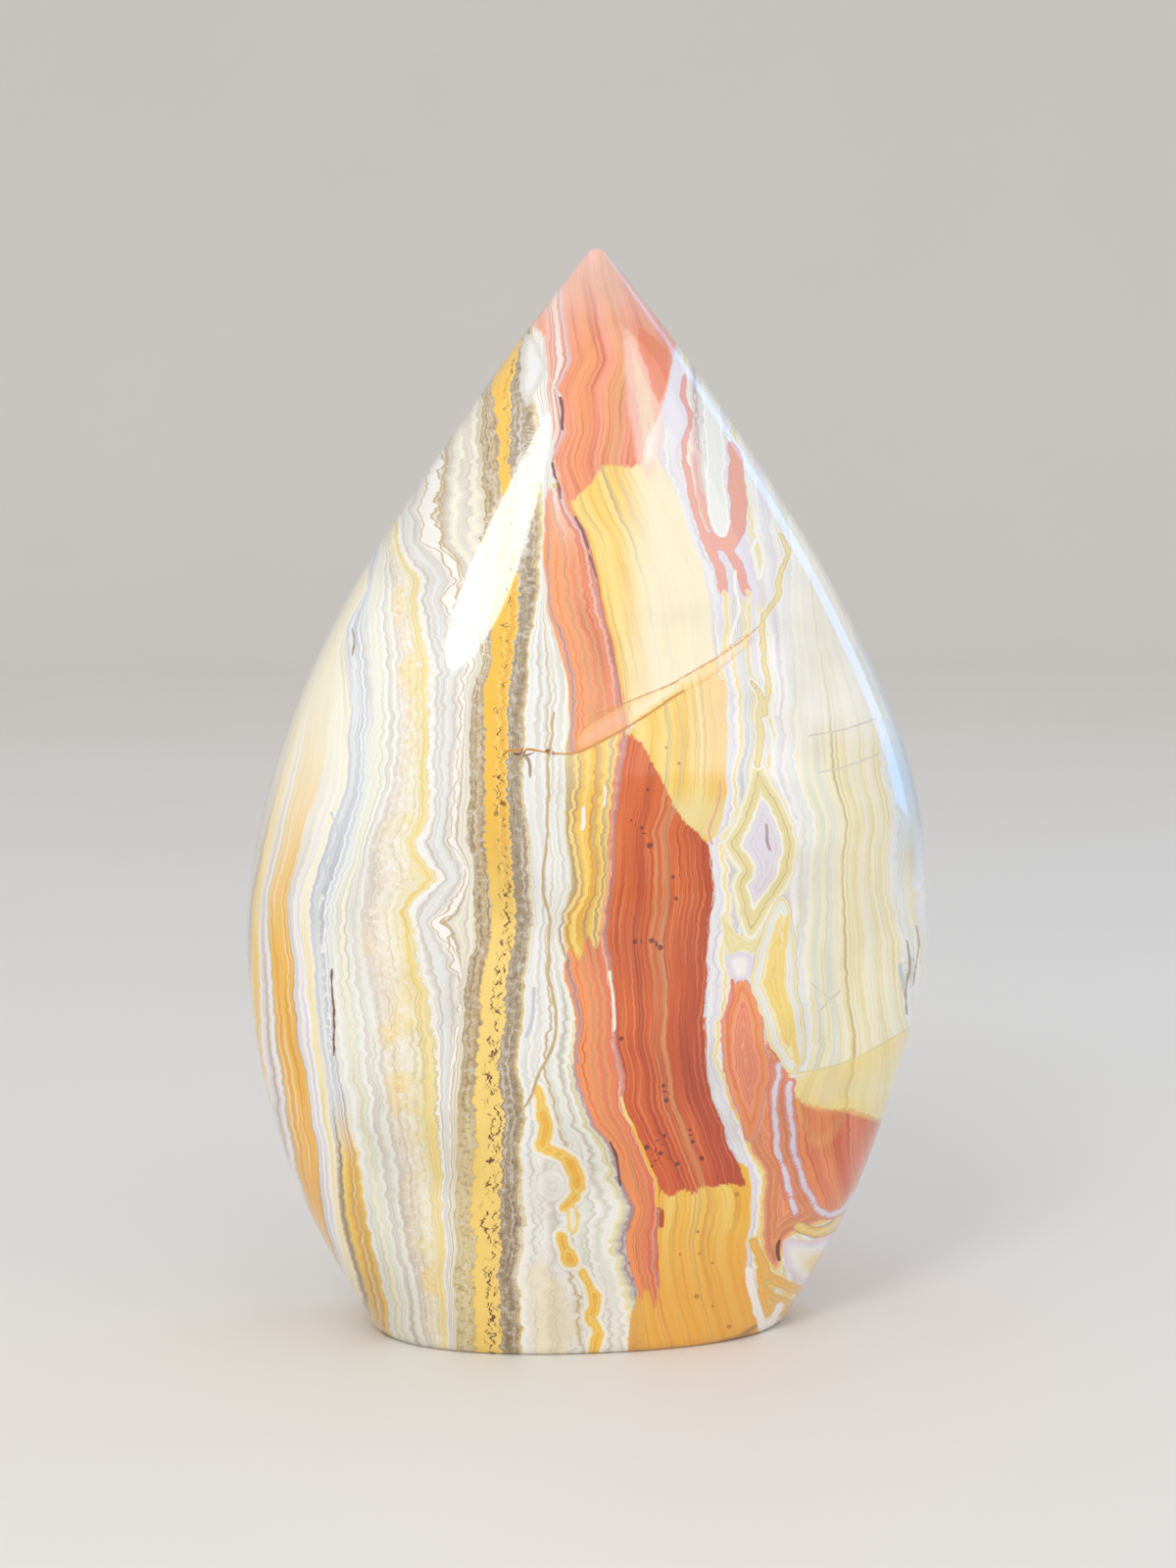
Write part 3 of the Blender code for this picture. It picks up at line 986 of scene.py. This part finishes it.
class AgateColours(bpy.types.PropertyGroup):
    """The colours of the rock's bands, and of the sheen painted on the right rim."""

    __annotations__ = {key: swatch(key) for key in ROCK_COLOURS}


class AgateSettings(bpy.types.PropertyGroup):
    """The stone's mesh and polish."""

    front_columns: IntProperty(
        name="Columns in front", description="Faces across the front", default=268, min=16
    )
    back_columns: IntProperty(
        name="Columns behind", description="Faces across the back", default=76, min=8
    )
    rows: IntProperty(name="Rows", description="Faces up the stone", default=268, min=16)
    polish: FloatProperty(
        name="Polish", description="Roughness of the polished face", default=0.07, min=0, max=1
    )
    pit_depth: FloatProperty(
        name="Pit depth", description="Depth of the pits in the vein", default=0.12 * MM,
        min=0, unit="LENGTH", precision=5,
    )


def power(name, description, default):
    """The setting for one light's power."""
    return FloatProperty(name=name, description=description, default=default, min=0, unit="POWER")


class StageSettings(bpy.types.PropertyGroup):
    """The floor and the lights."""

    floor_colour: FloatVectorProperty(
        name="Floor", description="Colour of the floor", default=linear("ECE8E2"),
        subtype="COLOR", min=0, max=1,
    )
    floor_reach: FloatProperty(
        name="Floor reach", description="How far the floor runs back", default=1.6,
        min=0.2, unit="LENGTH",
    )
    room_light: FloatProperty(
        name="Room light", description="Strength of the light from all round", default=0.7, min=0
    )
    key_light: power("Key light", "Power of the window whose shine lies on the left", 0.82)
    left_light: power("Left light", "Power of the broad soft light from the left", 0.55)
    fill_light: power("Fill light", "Power of the broad soft light from the right", 1.15)
    rim_light: power("Rim light", "Power of the cool light on the right rim", 0.42)


# The stone


def rail_rows(rows):
    """The stone's levels, base to tip: middle, height, half of the width and of the depth."""
    half_width = spline_through(FACE_HEIGHTS, HALF_WIDTHS, np.zeros(1))[0]
    half_depth = spline_through(SIDE_HEIGHTS, HALF_DEPTHS, np.zeros(1))[0]
    middle = FACE_MIDDLES[0]
    levels = [(middle, 0.0, 0.0, 0.0)]
    for share in BASE_RINGS:
        levels.append((middle, 0.0, half_width * share, half_depth * share))
    for turn in np.radians(EDGE_TURNS):
        inset = BASE_EDGE * (1 - math.sin(turn))
        lift = BASE_EDGE * (1 - math.cos(turn))
        levels.append((middle, lift, half_width - inset, half_depth - inset))
    heights = np.linspace(BASE_EDGE, HEIGHT - POLISHED_AWAY, rows)
    middles = spline_through(FACE_HEIGHTS, FACE_MIDDLES, heights)
    widths = spline_through(FACE_HEIGHTS, HALF_WIDTHS, heights) - POLISHED_AWAY
    depths = spline_through(SIDE_HEIGHTS, HALF_DEPTHS, heights) - POLISHED_AWAY
    levels.extend(zip(middles, heights, widths, depths))
    levels.append((middles[-1], heights[-1], 0.0, 0.0))
    return np.array(levels) * MM


def rail_mesh(rows):
    """The levels as points one above the other, which carry the size of their oval."""
    levels = rail_rows(rows)
    mesh = bpy.data.meshes.new("levels")
    mesh.from_pydata([(middle, 0.0, height) for middle, height, _, _ in levels], [], [])
    for name, column in (("half_width", 2), ("half_depth", 3)):
        sizes = mesh.attributes.new(name, "FLOAT", "POINT")
        sizes.data.foreach_set("value", levels[:, column].astype(np.float32))
    return mesh


SKIN_INPUTS = {
    "Levels": "NodeSocketGeometry",
    "Front columns": "NodeSocketInt",
    "Back columns": "NodeSocketInt",
    "Squareness": "NodeSocketFloat",
    "Finish": "NodeSocketMaterial",
}


def skin_tree():
    """A tree that lays an oval at each level and joins them into one closed skin."""
    tree = bpy.data.node_groups.new("agate_skin", "GeometryNodeTree")
    for name, kind in SKIN_INPUTS.items():
        tree.interface.new_socket(name, in_out="INPUT", socket_type=kind)
    tree.interface.new_socket("Skin", in_out="OUTPUT", socket_type="NodeSocketGeometry")
    bench = Bench(tree)
    given = bench.put("NodeGroupInput").outputs
    levels = bench.put(
        "GeometryNodeAttributeDomainSize", {0: given["Levels"]}, component="MESH"
    ).outputs["Point Count"]
    columns = bench.plus(given["Front columns"], given["Back columns"])
    grid = bench.put(
        "GeometryNodeMeshGrid",
        {"Size X": 1.0, "Size Y": 1.0, "Vertices X": bench.plus(columns, 1.0), "Vertices Y": levels},
    ).outputs["Mesh"]

    place = bench.parts(bench.put("GeometryNodeInputPosition").outputs[0])
    along = bench.plus(place[0], 0.5)
    level = bench.times(bench.plus(place[1], 0.5), bench.minus(levels, 1.0))
    level = bench.math("ROUND", level)

    front_share = bench.math("DIVIDE", given["Front columns"], columns)
    back_share = bench.minus(1.0, front_share)
    in_front = bench.math("DIVIDE", along, front_share, clamp=True)
    behind = bench.math("DIVIDE", bench.minus(along, front_share), back_share, clamp=True)
    turn = bench.plus(half_turn(bench, in_front), half_turn(bench, behind))
    turn = bench.plus(turn, math.pi)

    def sampled(value, kind):
        inputs = {"Geometry": given["Levels"], "Value": value, "Index": level}
        return bench.put("GeometryNodeSampleIndex", inputs, data_type=kind, domain="POINT").outputs[0]

    def stored(name):
        node = bench.put("GeometryNodeInputNamedAttribute", {"Name": name}, data_type="FLOAT")
        return sampled(node.outputs[0], "FLOAT")

    def squared_off(operation):
        wave = bench.math(operation, turn)
        power = bench.math("DIVIDE", 2.0, given["Squareness"])
        size = bench.math("POWER", bench.math("ABSOLUTE", wave), power)
        return bench.times(size, bench.math("SIGN", wave))

    centre = bench.parts(sampled(bench.put("GeometryNodeInputPosition").outputs[0], "FLOAT_VECTOR"))
    across = bench.scaled(stored("half_width"), squared_off("COSINE"), centre[0])
    deep = bench.times(stored("half_depth"), squared_off("SINE"))
    skin = grid
    for step, inputs in (
        ("GeometryNodeSetPosition", {"Position": bench.point(across, deep, centre[2])}),
        ("GeometryNodeMergeByDistance", {"Distance": JOINED_WITHIN}),
        ("GeometryNodeSetShadeSmooth", {}),
        ("GeometryNodeRealizeInstances", {}),
        ("GeometryNodeSetMaterial", {"Material": given["Finish"]}),
    ):
        skin = bench.put(step, {"Geometry": skin, **inputs}).outputs[0]
    bench.put("NodeGroupOutput", {0: skin})
    return tree


def half_turn(bench, share):
    """Half a turn as the share goes from 0 to 1, with its steps nearly even in width."""
    level_step = bench.math("ARCCOSINE", bench.scaled(share, -2.0, 1.0))
    return bench.scaled(level_step, EVENNESS, bench.times(share, (1 - EVENNESS) * math.pi))


def skin_mesh(settings, finish):
    """The stone's skin as a plain mesh."""
    holder = placed("levels", rail_mesh(settings.rows))
    tree = skin_tree()
    modifier = holder.modifiers.new("skin", "NODES")
    modifier.node_group = tree
    values = {
        "Front columns": settings.front_columns,
        "Back columns": settings.back_columns,
        "Squareness": SECTION_POWER,
        "Finish": finish,
    }
    for item in tree.interface.items_tree:
        if item.in_out == "INPUT" and item.name in values:
            modifier[item.identifier] = values[item.name]
    evaluated = holder.evaluated_get(bpy.context.evaluated_depsgraph_get())
    mesh = bpy.data.meshes.new_from_object(evaluated)
    mesh.name = "agate_flame"
    holder.modifiers.remove(modifier)
    bpy.data.objects.remove(holder)
    return mesh


def reference_places(spots):
    """Where each spot of the skin, in millimetres, is seen in the reference view, and how deep it lies."""
    cosine, sine = math.cos(VIEW_TURN), math.sin(VIEW_TURN)
    x, y, z = spots.T
    side = (x - BASE_MIDDLE) * cosine + y * sine - VIEW_SIDE
    deep = -(x - BASE_MIDDLE) * sine + y * cosine
    away = deep + VIEW_DISTANCE
    lift = z - VIEW_HEIGHT
    ahead = away * math.cos(VIEW_DIP) - lift * math.sin(VIEW_DIP)
    above = away * math.sin(VIEW_DIP) + lift * math.cos(VIEW_DIP)
    across = VIEW_CENTRE[0] + VIEW_FOCUS * side / ahead
    down = VIEW_CENTRE[1] - VIEW_FOCUS * above / ahead
    return across, down, deep


def bent_behind(across, down, deep):
    """The bands lean and wander a little on their way through the stone to its back."""
    hidden = np.maximum(deep, 0)
    lean = 1.3 * hidden + 1.5 * hidden * ripple(across / 170 + 3, down / 210 + hidden / 14, 11)
    slide = -1.2 * hidden + 1.2 * hidden * ripple(across / 190, down / 160 + hidden / 12, 12)
    return across + lean, down + slide


def lively(across, down):
    """The small waves of the lace, livelier in some bands than in others."""
    strength = np.interp(across, *np.transpose(LIVELINESS))
    wave = 3.0 * ripple(across / 60, down / 26, 21) + 1.3 * ripple(across / 28, down / 10, 22)
    shift = 1.4 * ripple(across / 30, down / 30, 23)
    return across + strength * wave, down + strength * shift


def band_places(across, down):
    """The place of each spot on the bands' own scale."""
    lines = np.array([line_through(points, down) for points in SEAMS.values()])
    for i in range(1, len(lines)):
        lines[i] = np.maximum(lines[i], lines[i - 1] + 1.0)
    marks = np.array([LINE_PLACES[name] for name in SEAMS], float)
    result = np.full(len(across), marks[0])
    for i in range(len(lines) - 1):
        share = (across - lines[i]) / (lines[i + 1] - lines[i])
        here = (share >= 0) & (share <= 1)
        result = np.where(here, marks[i] + share * (marks[i + 1] - marks[i]), result)
    return result


def nearest_stroke(across, down):
    """For each spot, the step to the nearest single line, the line's number and half of its width."""
    best = np.full(len(across), 1e9)
    step = np.zeros((len(across), 3))
    kind = np.zeros(len(across))
    width = np.ones(len(across))
    names = list(ROCK_COLOURS)
    for name, half_width, points in STROKES:
        points = rounded(points, False)
        here = near(across, down, points, FAR)
        offset = np.full((len(across), 2), FAR)
        length = np.full(len(across), 2 * FAR)
        offset[here], length[here] = offset_to_line(across[here], down[here], points)
        gap = length - half_width
        nearer = gap < best
        best = np.where(nearer, gap, best)
        step[nearer, :2] = offset[nearer]
        kind[nearer] = names.index(name)
        width[nearer] = half_width
    # Away from every line a third part grows, so that none shows where the nearest line changes.
    step[:, 2] = 4 * np.maximum(best - 3, 0)
    return step, kind, width


def nearest_dot(across, down):
    """For each spot, the step to the nearest dark dot, as a share of the dot's radius."""
    best = np.full(len(across), 1e9)
    step = np.zeros((len(across), 3))
    for x, y, radius in DOTS:
        length = np.hypot(across - x, down - y) / radius
        nearer = length < best
        best = np.where(nearer, length, best)
        step[nearer, 0] = ((across - x) / radius)[nearer]
        step[nearer, 1] = ((down - y) / radius)[nearer]
    # The same third part, for the dots
    step[:, 2] = 3 * np.maximum(best - 4, 0)
    return step


def store(mesh, name, values):
    """Keeps a number or a step on each corner point of the mesh."""
    values = np.asarray(values, np.float32)
    if values.ndim == 1:
        mesh.attributes.new(name, "FLOAT", "POINT").data.foreach_set("value", values)
    else:
        mesh.attributes.new(name, "FLOAT_VECTOR", "POINT").data.foreach_set("vector", values.ravel())


def draw_bands(mesh):
    """Works out where each point lies in the pattern and keeps it on the mesh."""
    spots = np.empty(len(mesh.vertices) * 3)
    mesh.vertices.foreach_get("co", spots)
    across, down, deep = reference_places(spots.reshape(-1, 3) / MM)
    across, down = bent_behind(across, down, deep)
    place = np.stack([across, down, deep], 1)
    across, down = lively(across, down)
    store(mesh, "place", place)
    store(mesh, "bands", band_places(across, down))
    store(mesh, "iron", depth_in_any(across, down, IRON_PATCHES))
    store(mesh, "gold", depth_in_any(across, down, GOLD_PATCHES))
    for name, (_, _, shapes, _) in LACE.items():
        store(mesh, name, depth_in_any(across, down, shapes))
    step, kind, width = nearest_stroke(across, down)
    store(mesh, "stroke", step)
    store(mesh, "stroke_kind", kind)
    store(mesh, "stroke_width", width)
    store(mesh, "dot", nearest_dot(*place.T[:2]))


def agate_material(colours, settings):
    """Polished agate: the bands' colours, their fine lines, the crystals, pits and dots."""
    material, bench = blank_material("lace_agate")
    tint = {key: (*getattr(colours, key), 1.0) for key in ROCK_COLOURS}

    def laid(colour, share, name, mode="MIX"):
        """A colour with a share of one of the rock's colours over it."""
        return bench.blend(share, colour, tint[name], mode)

    def washed(colour, name, where, cause, low, high, most=1.0, mode="MIX"):
        """The same, with a share that grows within a place as the cause goes from low to high."""
        return laid(colour, bench.times(where, bench.rise(cause, low, high, 0.0, most)), name, mode)

    def carried(name):
        """The node that reads what the mesh carries under a name."""
        return bench.put("ShaderNodeAttribute", attribute_name=name)

    def amount(name):
        """What the mesh carries under a name, as a number."""
        return carried(name).outputs["Fac"]

    place = bench.parts(carried("place").outputs["Vector"])
    across, down = place[0], place[1]
    bands = amount("bands")
    spot = bench.put("ShaderNodeTexCoord").outputs["Object"]

    def between(value, low, high, soft=1.0):
        """1 where the value lies between two limits, with soft edges."""
        opening = bench.rise(value, low - soft, low + soft)
        return bench.times(opening, bench.rise(value, high + soft, high - soft))

    def lane(name):
        """1 in a named lane of the bands, which are taken as they stand at the call."""
        return between(bands, *LANES[name])

    def along(x_scale, y_scale, seed=0.0, value=None, detail=1.0, roughness=0.5):
        """Noise drawn out along the bands."""
        value = bands if value is None else value
        vector = bench.point(bench.times(value, x_scale), bench.times(down, y_scale), seed)
        return bench.noise(vector, 1.0, detail, roughness)

    # The scallops of the lace, finer than the mesh can carry, and sharper beside the vein's gold.
    teeth = lane("vein_teeth")
    calm = bench.plus(lane("block"), lane("calm_cream"))
    calm = bench.plus(calm, lane("left_of_crystals"))
    scallop = bench.scaled(along(0.035, 0.11, 1.0, across), 9.0, -4.5)
    tooth = bench.scaled(along(0.05, 0.19, 2.0, across, detail=2.0), 7.0, -3.5)
    tooth = bench.times(tooth, bench.scaled(teeth, 1.9, 0.6))
    wave = bench.plus(scallop, tooth)
    wave = bench.times(wave, bench.scaled(calm, -0.6, 1.0))
    bands = bench.scaled(wave, SCALLOP, bands)

    fine = along(0.36, 0.005, 3.0, detail=2.0, roughness=0.7)
    patchy = bench.noise(spot, 220.0, 3.0)
    grain = bench.noise(spot, 2200.0, 3.0, 0.6)
    cloud = bench.noise(spot, 70.0, 3.0, 0.6)

    def lined(colour, pattern, light, light_share, dark, dark_share):
        """Adds fine light and dark lines to a colour where the pattern peaks and dips."""
        above = bench.rise(pattern, 0.53, 0.65, 0.0, light_share)
        below = bench.rise(pattern, 0.48, 0.36, 0.0, dark_share)
        colour = bench.blend(above, colour, light)
        return bench.blend(below, colour, dark, mode="MULTIPLY")

    colour = bench.ramp(bands, OCHRE_BANDS, tint)
    for stops in (CRYSTAL_BANDS, WHITE_BANDS, VEIN_BANDS, BLOCK_BANDS, RIGHT_BANDS, RIM_BANDS):
        past = bench.math("GREATER_THAN", bands, float(stops[0][0]))
        colour = bench.blend(past, colour, bench.ramp(bands, stops, tint))
    lower = bench.rise(down, *map(float, LOWER_YELLOW_FROM))
    lower = bench.times(lane("lower_yellow"), lower)
    colour = bench.blend(lower, colour, bench.ramp(bands, LOWER_YELLOW_BANDS, tint))
    quiet = bench.minus(1.0, lane("vein_unlined"))
    lively_lines = bench.scaled(bench.minus(fine, 0.5), quiet, 0.5)
    thin_lines = bench.blend(bench.rise(bands, 690.0, 740.0), tint["ash"], tint["straw"])
    colour = lined(colour, lively_lines, tint["milk"], 0.55, thin_lines, 0.55)

    # The yellow on the far left pales towards the top.
    colour = washed(colour, "bone", lane("far_left"), down, 1010.0, 690.0, 0.9)
    colour = washed(colour, "honey", lane("cream_line"), down, 880.0, 1000.0, 0.35)

    # The cream block is whiter above its first crack.
    colour = washed(colour, "milk", lane("cream_block"), down, 775.0, 725.0, 0.6)

    # Painted reflection: a bluish sheen is painted on the right rim above the middle, where the cool rim
    # light shines.
    colour = washed(colour, "glacier", bench.rise(bands, 841.0, 864.0), down, 920.0, 780.0, 0.9)

    # Gold and iron-red patches cut across the bands, with edges that step from line to line.
    jag = bench.scaled(fine, 14.0, -7.0)
    gold = bench.ramp(bands, GOLD_BANDS, tint)
    gold = laid(gold, bench.rise(patchy, 0.5, 0.72, 0.0, 0.35), "honey")
    gold = lined(gold, fine, tint["honey"], 0.55, tint["tan"], 0.55)
    fault_side = bench.scaled(across, 0.748, down)
    above_fault = bench.times(bench.rise(across, 622.0, 672.0), bench.rise(fault_side, 1223.0, 1214.0))
    gold = laid(gold, bench.times(above_fault, 0.8), "bone")
    gold = washed(gold, "bone", bench.rise(across, 685.0, 732.0, 0.0, 0.4), down, 820.0, 770.0)
    # The gold deepens to ochre towards the foot: partly its own colour, partly painted shade where the
    # light falls off towards the base.
    gold = laid(gold, bench.rise(down, 1180.0, 1330.0, 0.0, 0.7), "ochre")
    wedge_foot = bench.times(bench.rise(down, 795.0, 830.0, 0.0, 0.7), bench.rise(down, 860.0, 850.0))
    gold = washed(gold, "olive", wedge_foot, across, 670.0, 690.0)
    iron = bench.ramp(bands, IRON_BANDS, tint)
    pale_top = bench.times(bench.rise(down, 580.0, 480.0), 0.85)
    iron = bench.blend(pale_top, iron, bench.ramp(bands, TIP_BANDS, tint))
    iron = lined(iron, fine, tint["apricot"], 0.45, tint["fox"], 0.6)
    iron = laid(iron, bench.rise(down, 375.0, 262.0, 0.0, 0.68), "blush")
    gold_here = bench.rise(bench.plus(amount("gold"), jag), -0.7, 0.7)
    iron_here = bench.rise(bench.plus(amount("iron"), jag), -0.7, 0.7)
    colour = bench.blend(gold_here, colour, gold)
    colour = bench.blend(iron_here, colour, iron)

    # Crystals beside the greenish bands, with painted shade in their hollows and painted glints on them,
    # and the beads of the yellow lace.
    druzy = lane("druzy")
    colour = washed(colour, "honey", druzy, patchy, 0.46, 0.62, 0.55)
    # Painted shade: darker specks in the hollows between the crystals.
    colour = washed(colour, "fawn", druzy, grain, 0.47, 0.36, 0.4, mode="MULTIPLY")
    # Painted highlights: white glints on the crystals.
    colour = washed(colour, "milk", druzy, grain, 0.55, 0.66, 0.8)
    colour = washed(colour, "milk", lane("yellow_beads"), grain, 0.48, 0.56)
    crust = bench.times(lane("crust"), bench.rise(grain, 0.52, 0.60, 0.0, 0.8))
    crust = bench.times(crust, between(down, 890.0, 1080.0, 30.0))
    colour = washed(colour, "milk", crust, patchy, 0.45, 0.55)

    # White lenses, strung along the lace.
    lens_half = bench.scaled(along(0.0, 0.045, 7.0, detail=2.0), 17.0, -5.5)
    lens_gap = bench.minus(bench.math("ABSOLUTE", bench.minus(bands, 395.0)), lens_half)
    colour = laid(colour, between(lens_gap, 0.0, 1.4, 0.5), "tan")
    colour = laid(colour, bench.rise(lens_gap, 0.5, -0.5), "milk")

    # The vein: brown sides with a comb of fine cross lines, painted sparkle and painted shade in their
    # grain, and a gold middle with pits.
    sides = bench.plus(lane("vein_left_side"), lane("vein_right_side"))
    colour = washed(colour, "honey", lane("vein_gold"), down, 820.0, 1000.0, 0.9)
    comb = along(0.12, 0.55, 5.0, detail=2.0, roughness=0.6)
    colour = washed(colour, "straw", lane("vein_left_side"), down, 1080.0, 1180.0, 0.6)
    colour = washed(colour, "tan", sides, comb, 0.5, 0.62, 0.4)
    # Painted sparkle: pale specks of the grain on the vein's sides.
    colour = washed(colour, "ash", sides, grain, 0.54, 0.64, 0.55)
    # Painted shade: darker specks multiplied into the vein's sides.
    colour = washed(colour, "smoke", sides, grain, 0.47, 0.36, 0.42, mode="MULTIPLY")
    pit_lane = lane("vein_pits")
    pits = along(0.28, 0.085, 6.0, detail=3.0, roughness=0.7)
    pits = bench.plus(pits, bench.rise(down, 600.0, 1050.0, -0.045, 0.005))
    colour = washed(colour, "ochre", pit_lane, pits, 0.50, 0.58, 0.5)
    pits = bench.times(pit_lane, bench.rise(pits, 0.56, 0.60))
    colour = laid(colour, pits, "umber")

    # The rings wander a little from their outlines.
    wander = bench.scaled(along(0.09, 0.11, 8.0, across, detail=2.5), 6.0, -3.0)
    for name, (soft, strength, _, rings) in LACE.items():
        depth = bench.plus(amount(name), wander)
        depth_lines = bench.noise(bench.point(bench.times(depth, 0.4), 0.0, 1.0), 1.0, 2.0, 0.7)
        ring = bench.ramp(depth, rings, tint)
        if strength > VEILED:
            ring = lined(ring, depth_lines, tint["bone"], 0.25, tint["bone"], 0.8)
        edge = float(rings[0][0])
        colour = bench.blend(bench.rise(depth, edge - soft, edge + soft, 0.0, strength), colour, ring)

    # Single lines and dots.
    stroke_gap = bench.minus(bench.length(carried("stroke").outputs["Vector"]), amount("stroke_width"))
    stroke_gap = bench.scaled(wander, 0.4, stroke_gap)
    kinds = [(float(i), key) for i, key in enumerate(ROCK_COLOURS)]
    stroke_colour = bench.ramp(amount("stroke_kind"), kinds, tint)
    colour = bench.blend(bench.rise(stroke_gap, 0.6, -0.6), colour, stroke_colour)
    dots = bench.rise(bench.length(carried("dot").outputs["Vector"]), 1.2, 0.7)
    dot_colour = bench.blend(iron_here, tint["rust"], tint["liver"])
    colour = bench.blend(bench.times(dots, 0.9), colour, dot_colour)
    colour = laid(colour, bench.rise(cloud, 0.55, 0.35, 0.0, 0.35), "ash", mode="MULTIPLY")
    # Painted shade: every colour darkens and deepens towards the base, where the light falls off.
    painted_low_shade = bench.rise(down, 700.0, 1330.0, 1.02, 1.24)
    colour = bench.put("ShaderNodeGamma", {"Color": colour, "Gamma": painted_low_shade}).outputs[0]

    relief = bench.scaled(pits, -1.0, bench.times(dots, -0.5))
    relief = bench.scaled(bench.times(sides, comb), 0.15, relief)
    bump = bench.put("ShaderNodeBump", {"Height": relief, "Distance": settings.pit_depth, "Strength": 1.0})
    surfaced(bench, {
        "Base Color": colour,
        "Roughness": settings.polish,
        "IOR": AGATE_IOR,
        "Normal": bump.outputs[0],
        "Coat Weight": 1.0,
        "Coat Roughness": SHINE_ROUGHNESS,
        "Coat IOR": SHINE_IOR,
    })
    return material


class AGATE_OT_stone(bpy.types.Operator):
    """Build the polished agate flame"""

    bl_idname = "agate.stone"
    bl_label = "Agate flame"
    bl_options = {"REGISTER", "UNDO"}

    def execute(self, context):
        settings = context.scene.agate
        mesh = skin_mesh(settings, agate_material(context.scene.agate_colours, settings))
        draw_bands(mesh)
        stone = placed("agate_flame", mesh)
        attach(stone, "root")
        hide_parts(STONE_NODE)
        return {"FINISHED"}


# The stage


def floor_mesh(reach):
    """A floor that turns up into a backdrop through a wide bend, in metres."""
    flat = reach - FLOOR_BEND
    profile = [(-reach, 0.0), (flat, 0.0)]
    for turn in np.radians(np.arange(10, 91, 10)):
        profile.append((flat + FLOOR_BEND * math.sin(turn), FLOOR_BEND * (1 - math.cos(turn))))
    profile.append((reach, BACKDROP_HEIGHT))
    points = [(x, y, z) for y, z in profile for x in (-reach, reach)]
    faces = [(2 * i, 2 * i + 1, 2 * i + 3, 2 * i + 2) for i in range(len(profile) - 1)]
    mesh = bpy.data.meshes.new("floor")
    mesh.from_pydata(points, [], faces)
    mesh.shade_smooth()
    return mesh


def floor_material(colour):
    """Matt and pale, a little cloudy."""
    material, bench = blank_material("pale_floor")
    spot = bench.put("ShaderNodeTexCoord").outputs["Object"]
    cloud = bench.rise(bench.noise(spot, 9.0, 3.0), 0.3, 0.7, 0.0, 0.12)
    tone = bench.blend(cloud, (*colour, 1.0), (*[c * FLOOR_SHADE for c in colour], 1.0))
    surfaced(bench, {"Base Color": tone, "Roughness": FLOOR_ROUGHNESS})
    return material


def add_light(name, shape, turn, lift, distance, size, roll, colour, power):
    """A soft area light that faces the stone, turned from the front and lifted by the given degrees."""
    light = bpy.data.lights.new(name, "AREA")
    light.shape = shape
    light.size, light.size_y = size
    light.energy = power
    light.color = colour
    thing = placed(name, light)
    turn, lift = math.radians(turn), math.radians(lift)
    outward = Vector((
        math.sin(turn) * math.cos(lift), -math.cos(turn) * math.cos(lift), math.sin(lift)
    ))
    thing.location = Vector(LIT_POINT) + outward * distance
    facing = outward.to_track_quat("Z", "Y").to_euler()
    facing.rotate_axis("Z", math.radians(roll))
    thing.rotation_euler = facing


def add_camera():
    """The camera stands where the reference view is seen from."""
    cosine, sine = math.cos(VIEW_TURN), math.sin(VIEW_TURN)
    x = BASE_MIDDLE + VIEW_SIDE * cosine + VIEW_DISTANCE * sine
    y = VIEW_SIDE * sine - VIEW_DISTANCE * cosine
    data = bpy.data.cameras.new("reference_view")
    data.lens = VIEW_LENS
    data.sensor_width = SENSOR_WIDTH
    data.clip_start = NEAREST_SEEN
    camera = placed("reference_view", data)
    camera.location = (x * MM, y * MM, VIEW_HEIGHT * MM)
    camera.rotation_euler = (math.pi / 2 - VIEW_DIP, 0.0, VIEW_TURN)
    bpy.context.scene.camera = camera


class AGATE_OT_stage(bpy.types.Operator):
    """Lay a pale floor, light it softly and set up the camera"""

    bl_idname = "agate.stage"
    bl_label = "Stage"
    bl_options = {"REGISTER", "UNDO"}

    def execute(self, context):
        settings = context.scene.agate_stage
        mesh = floor_mesh(settings.floor_reach)
        mesh.materials.append(floor_material(settings.floor_colour))
        floor = placed("floor", mesh)
        world = bpy.data.worlds.new("room")
        world.use_nodes = True
        background = world.node_tree.nodes["Background"]
        background.inputs[0].default_value = ROOM_COLOUR
        background.inputs[1].default_value = settings.room_light
        context.scene.world = world
        for light in STUDIO_LIGHTS:
            add_light(*light, getattr(settings, light[0]))
        context.scene.view_settings.view_transform = "Standard"
        add_camera()
        return {"FINISHED"}


class AGATE_PT_panel(bpy.types.Panel):
    """Lists the stone and the stage with their settings"""

    bl_idname = "AGATE_PT_panel"
    bl_label = "Agate flame"
    bl_space_type = "VIEW_3D"
    bl_region_type = "UI"
    bl_category = "Agate"

    def draw(self, context):
        parts = (
            (AGATE_OT_stone, context.scene.agate),
            (None, context.scene.agate_colours),
            (AGATE_OT_stage, context.scene.agate_stage),
        )
        for operator, settings in parts:
            box = self.layout.box()
            if operator:
                box.operator(operator.bl_idname)
            for name in settings.__annotations__:
                box.prop(settings, name)


CLASSES = (AgateColours, AgateSettings, StageSettings, AGATE_OT_stone, AGATE_OT_stage, AGATE_PT_panel)


def register():
    for cls in CLASSES:
        bpy.utils.register_class(cls)
    bpy.types.Scene.agate = PointerProperty(type=AgateSettings)
    bpy.types.Scene.agate_colours = PointerProperty(type=AgateColours)
    bpy.types.Scene.agate_stage = PointerProperty(type=StageSettings)


def unregister():
    del bpy.types.Scene.agate_stage
    del bpy.types.Scene.agate_colours
    del bpy.types.Scene.agate
    for cls in reversed(CLASSES):
        bpy.utils.unregister_class(cls)


def main():
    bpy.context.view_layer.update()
    register()
    bpy.ops.agate.stone()
    bpy.ops.agate.stage()


if __name__ == "__main__":
    main()
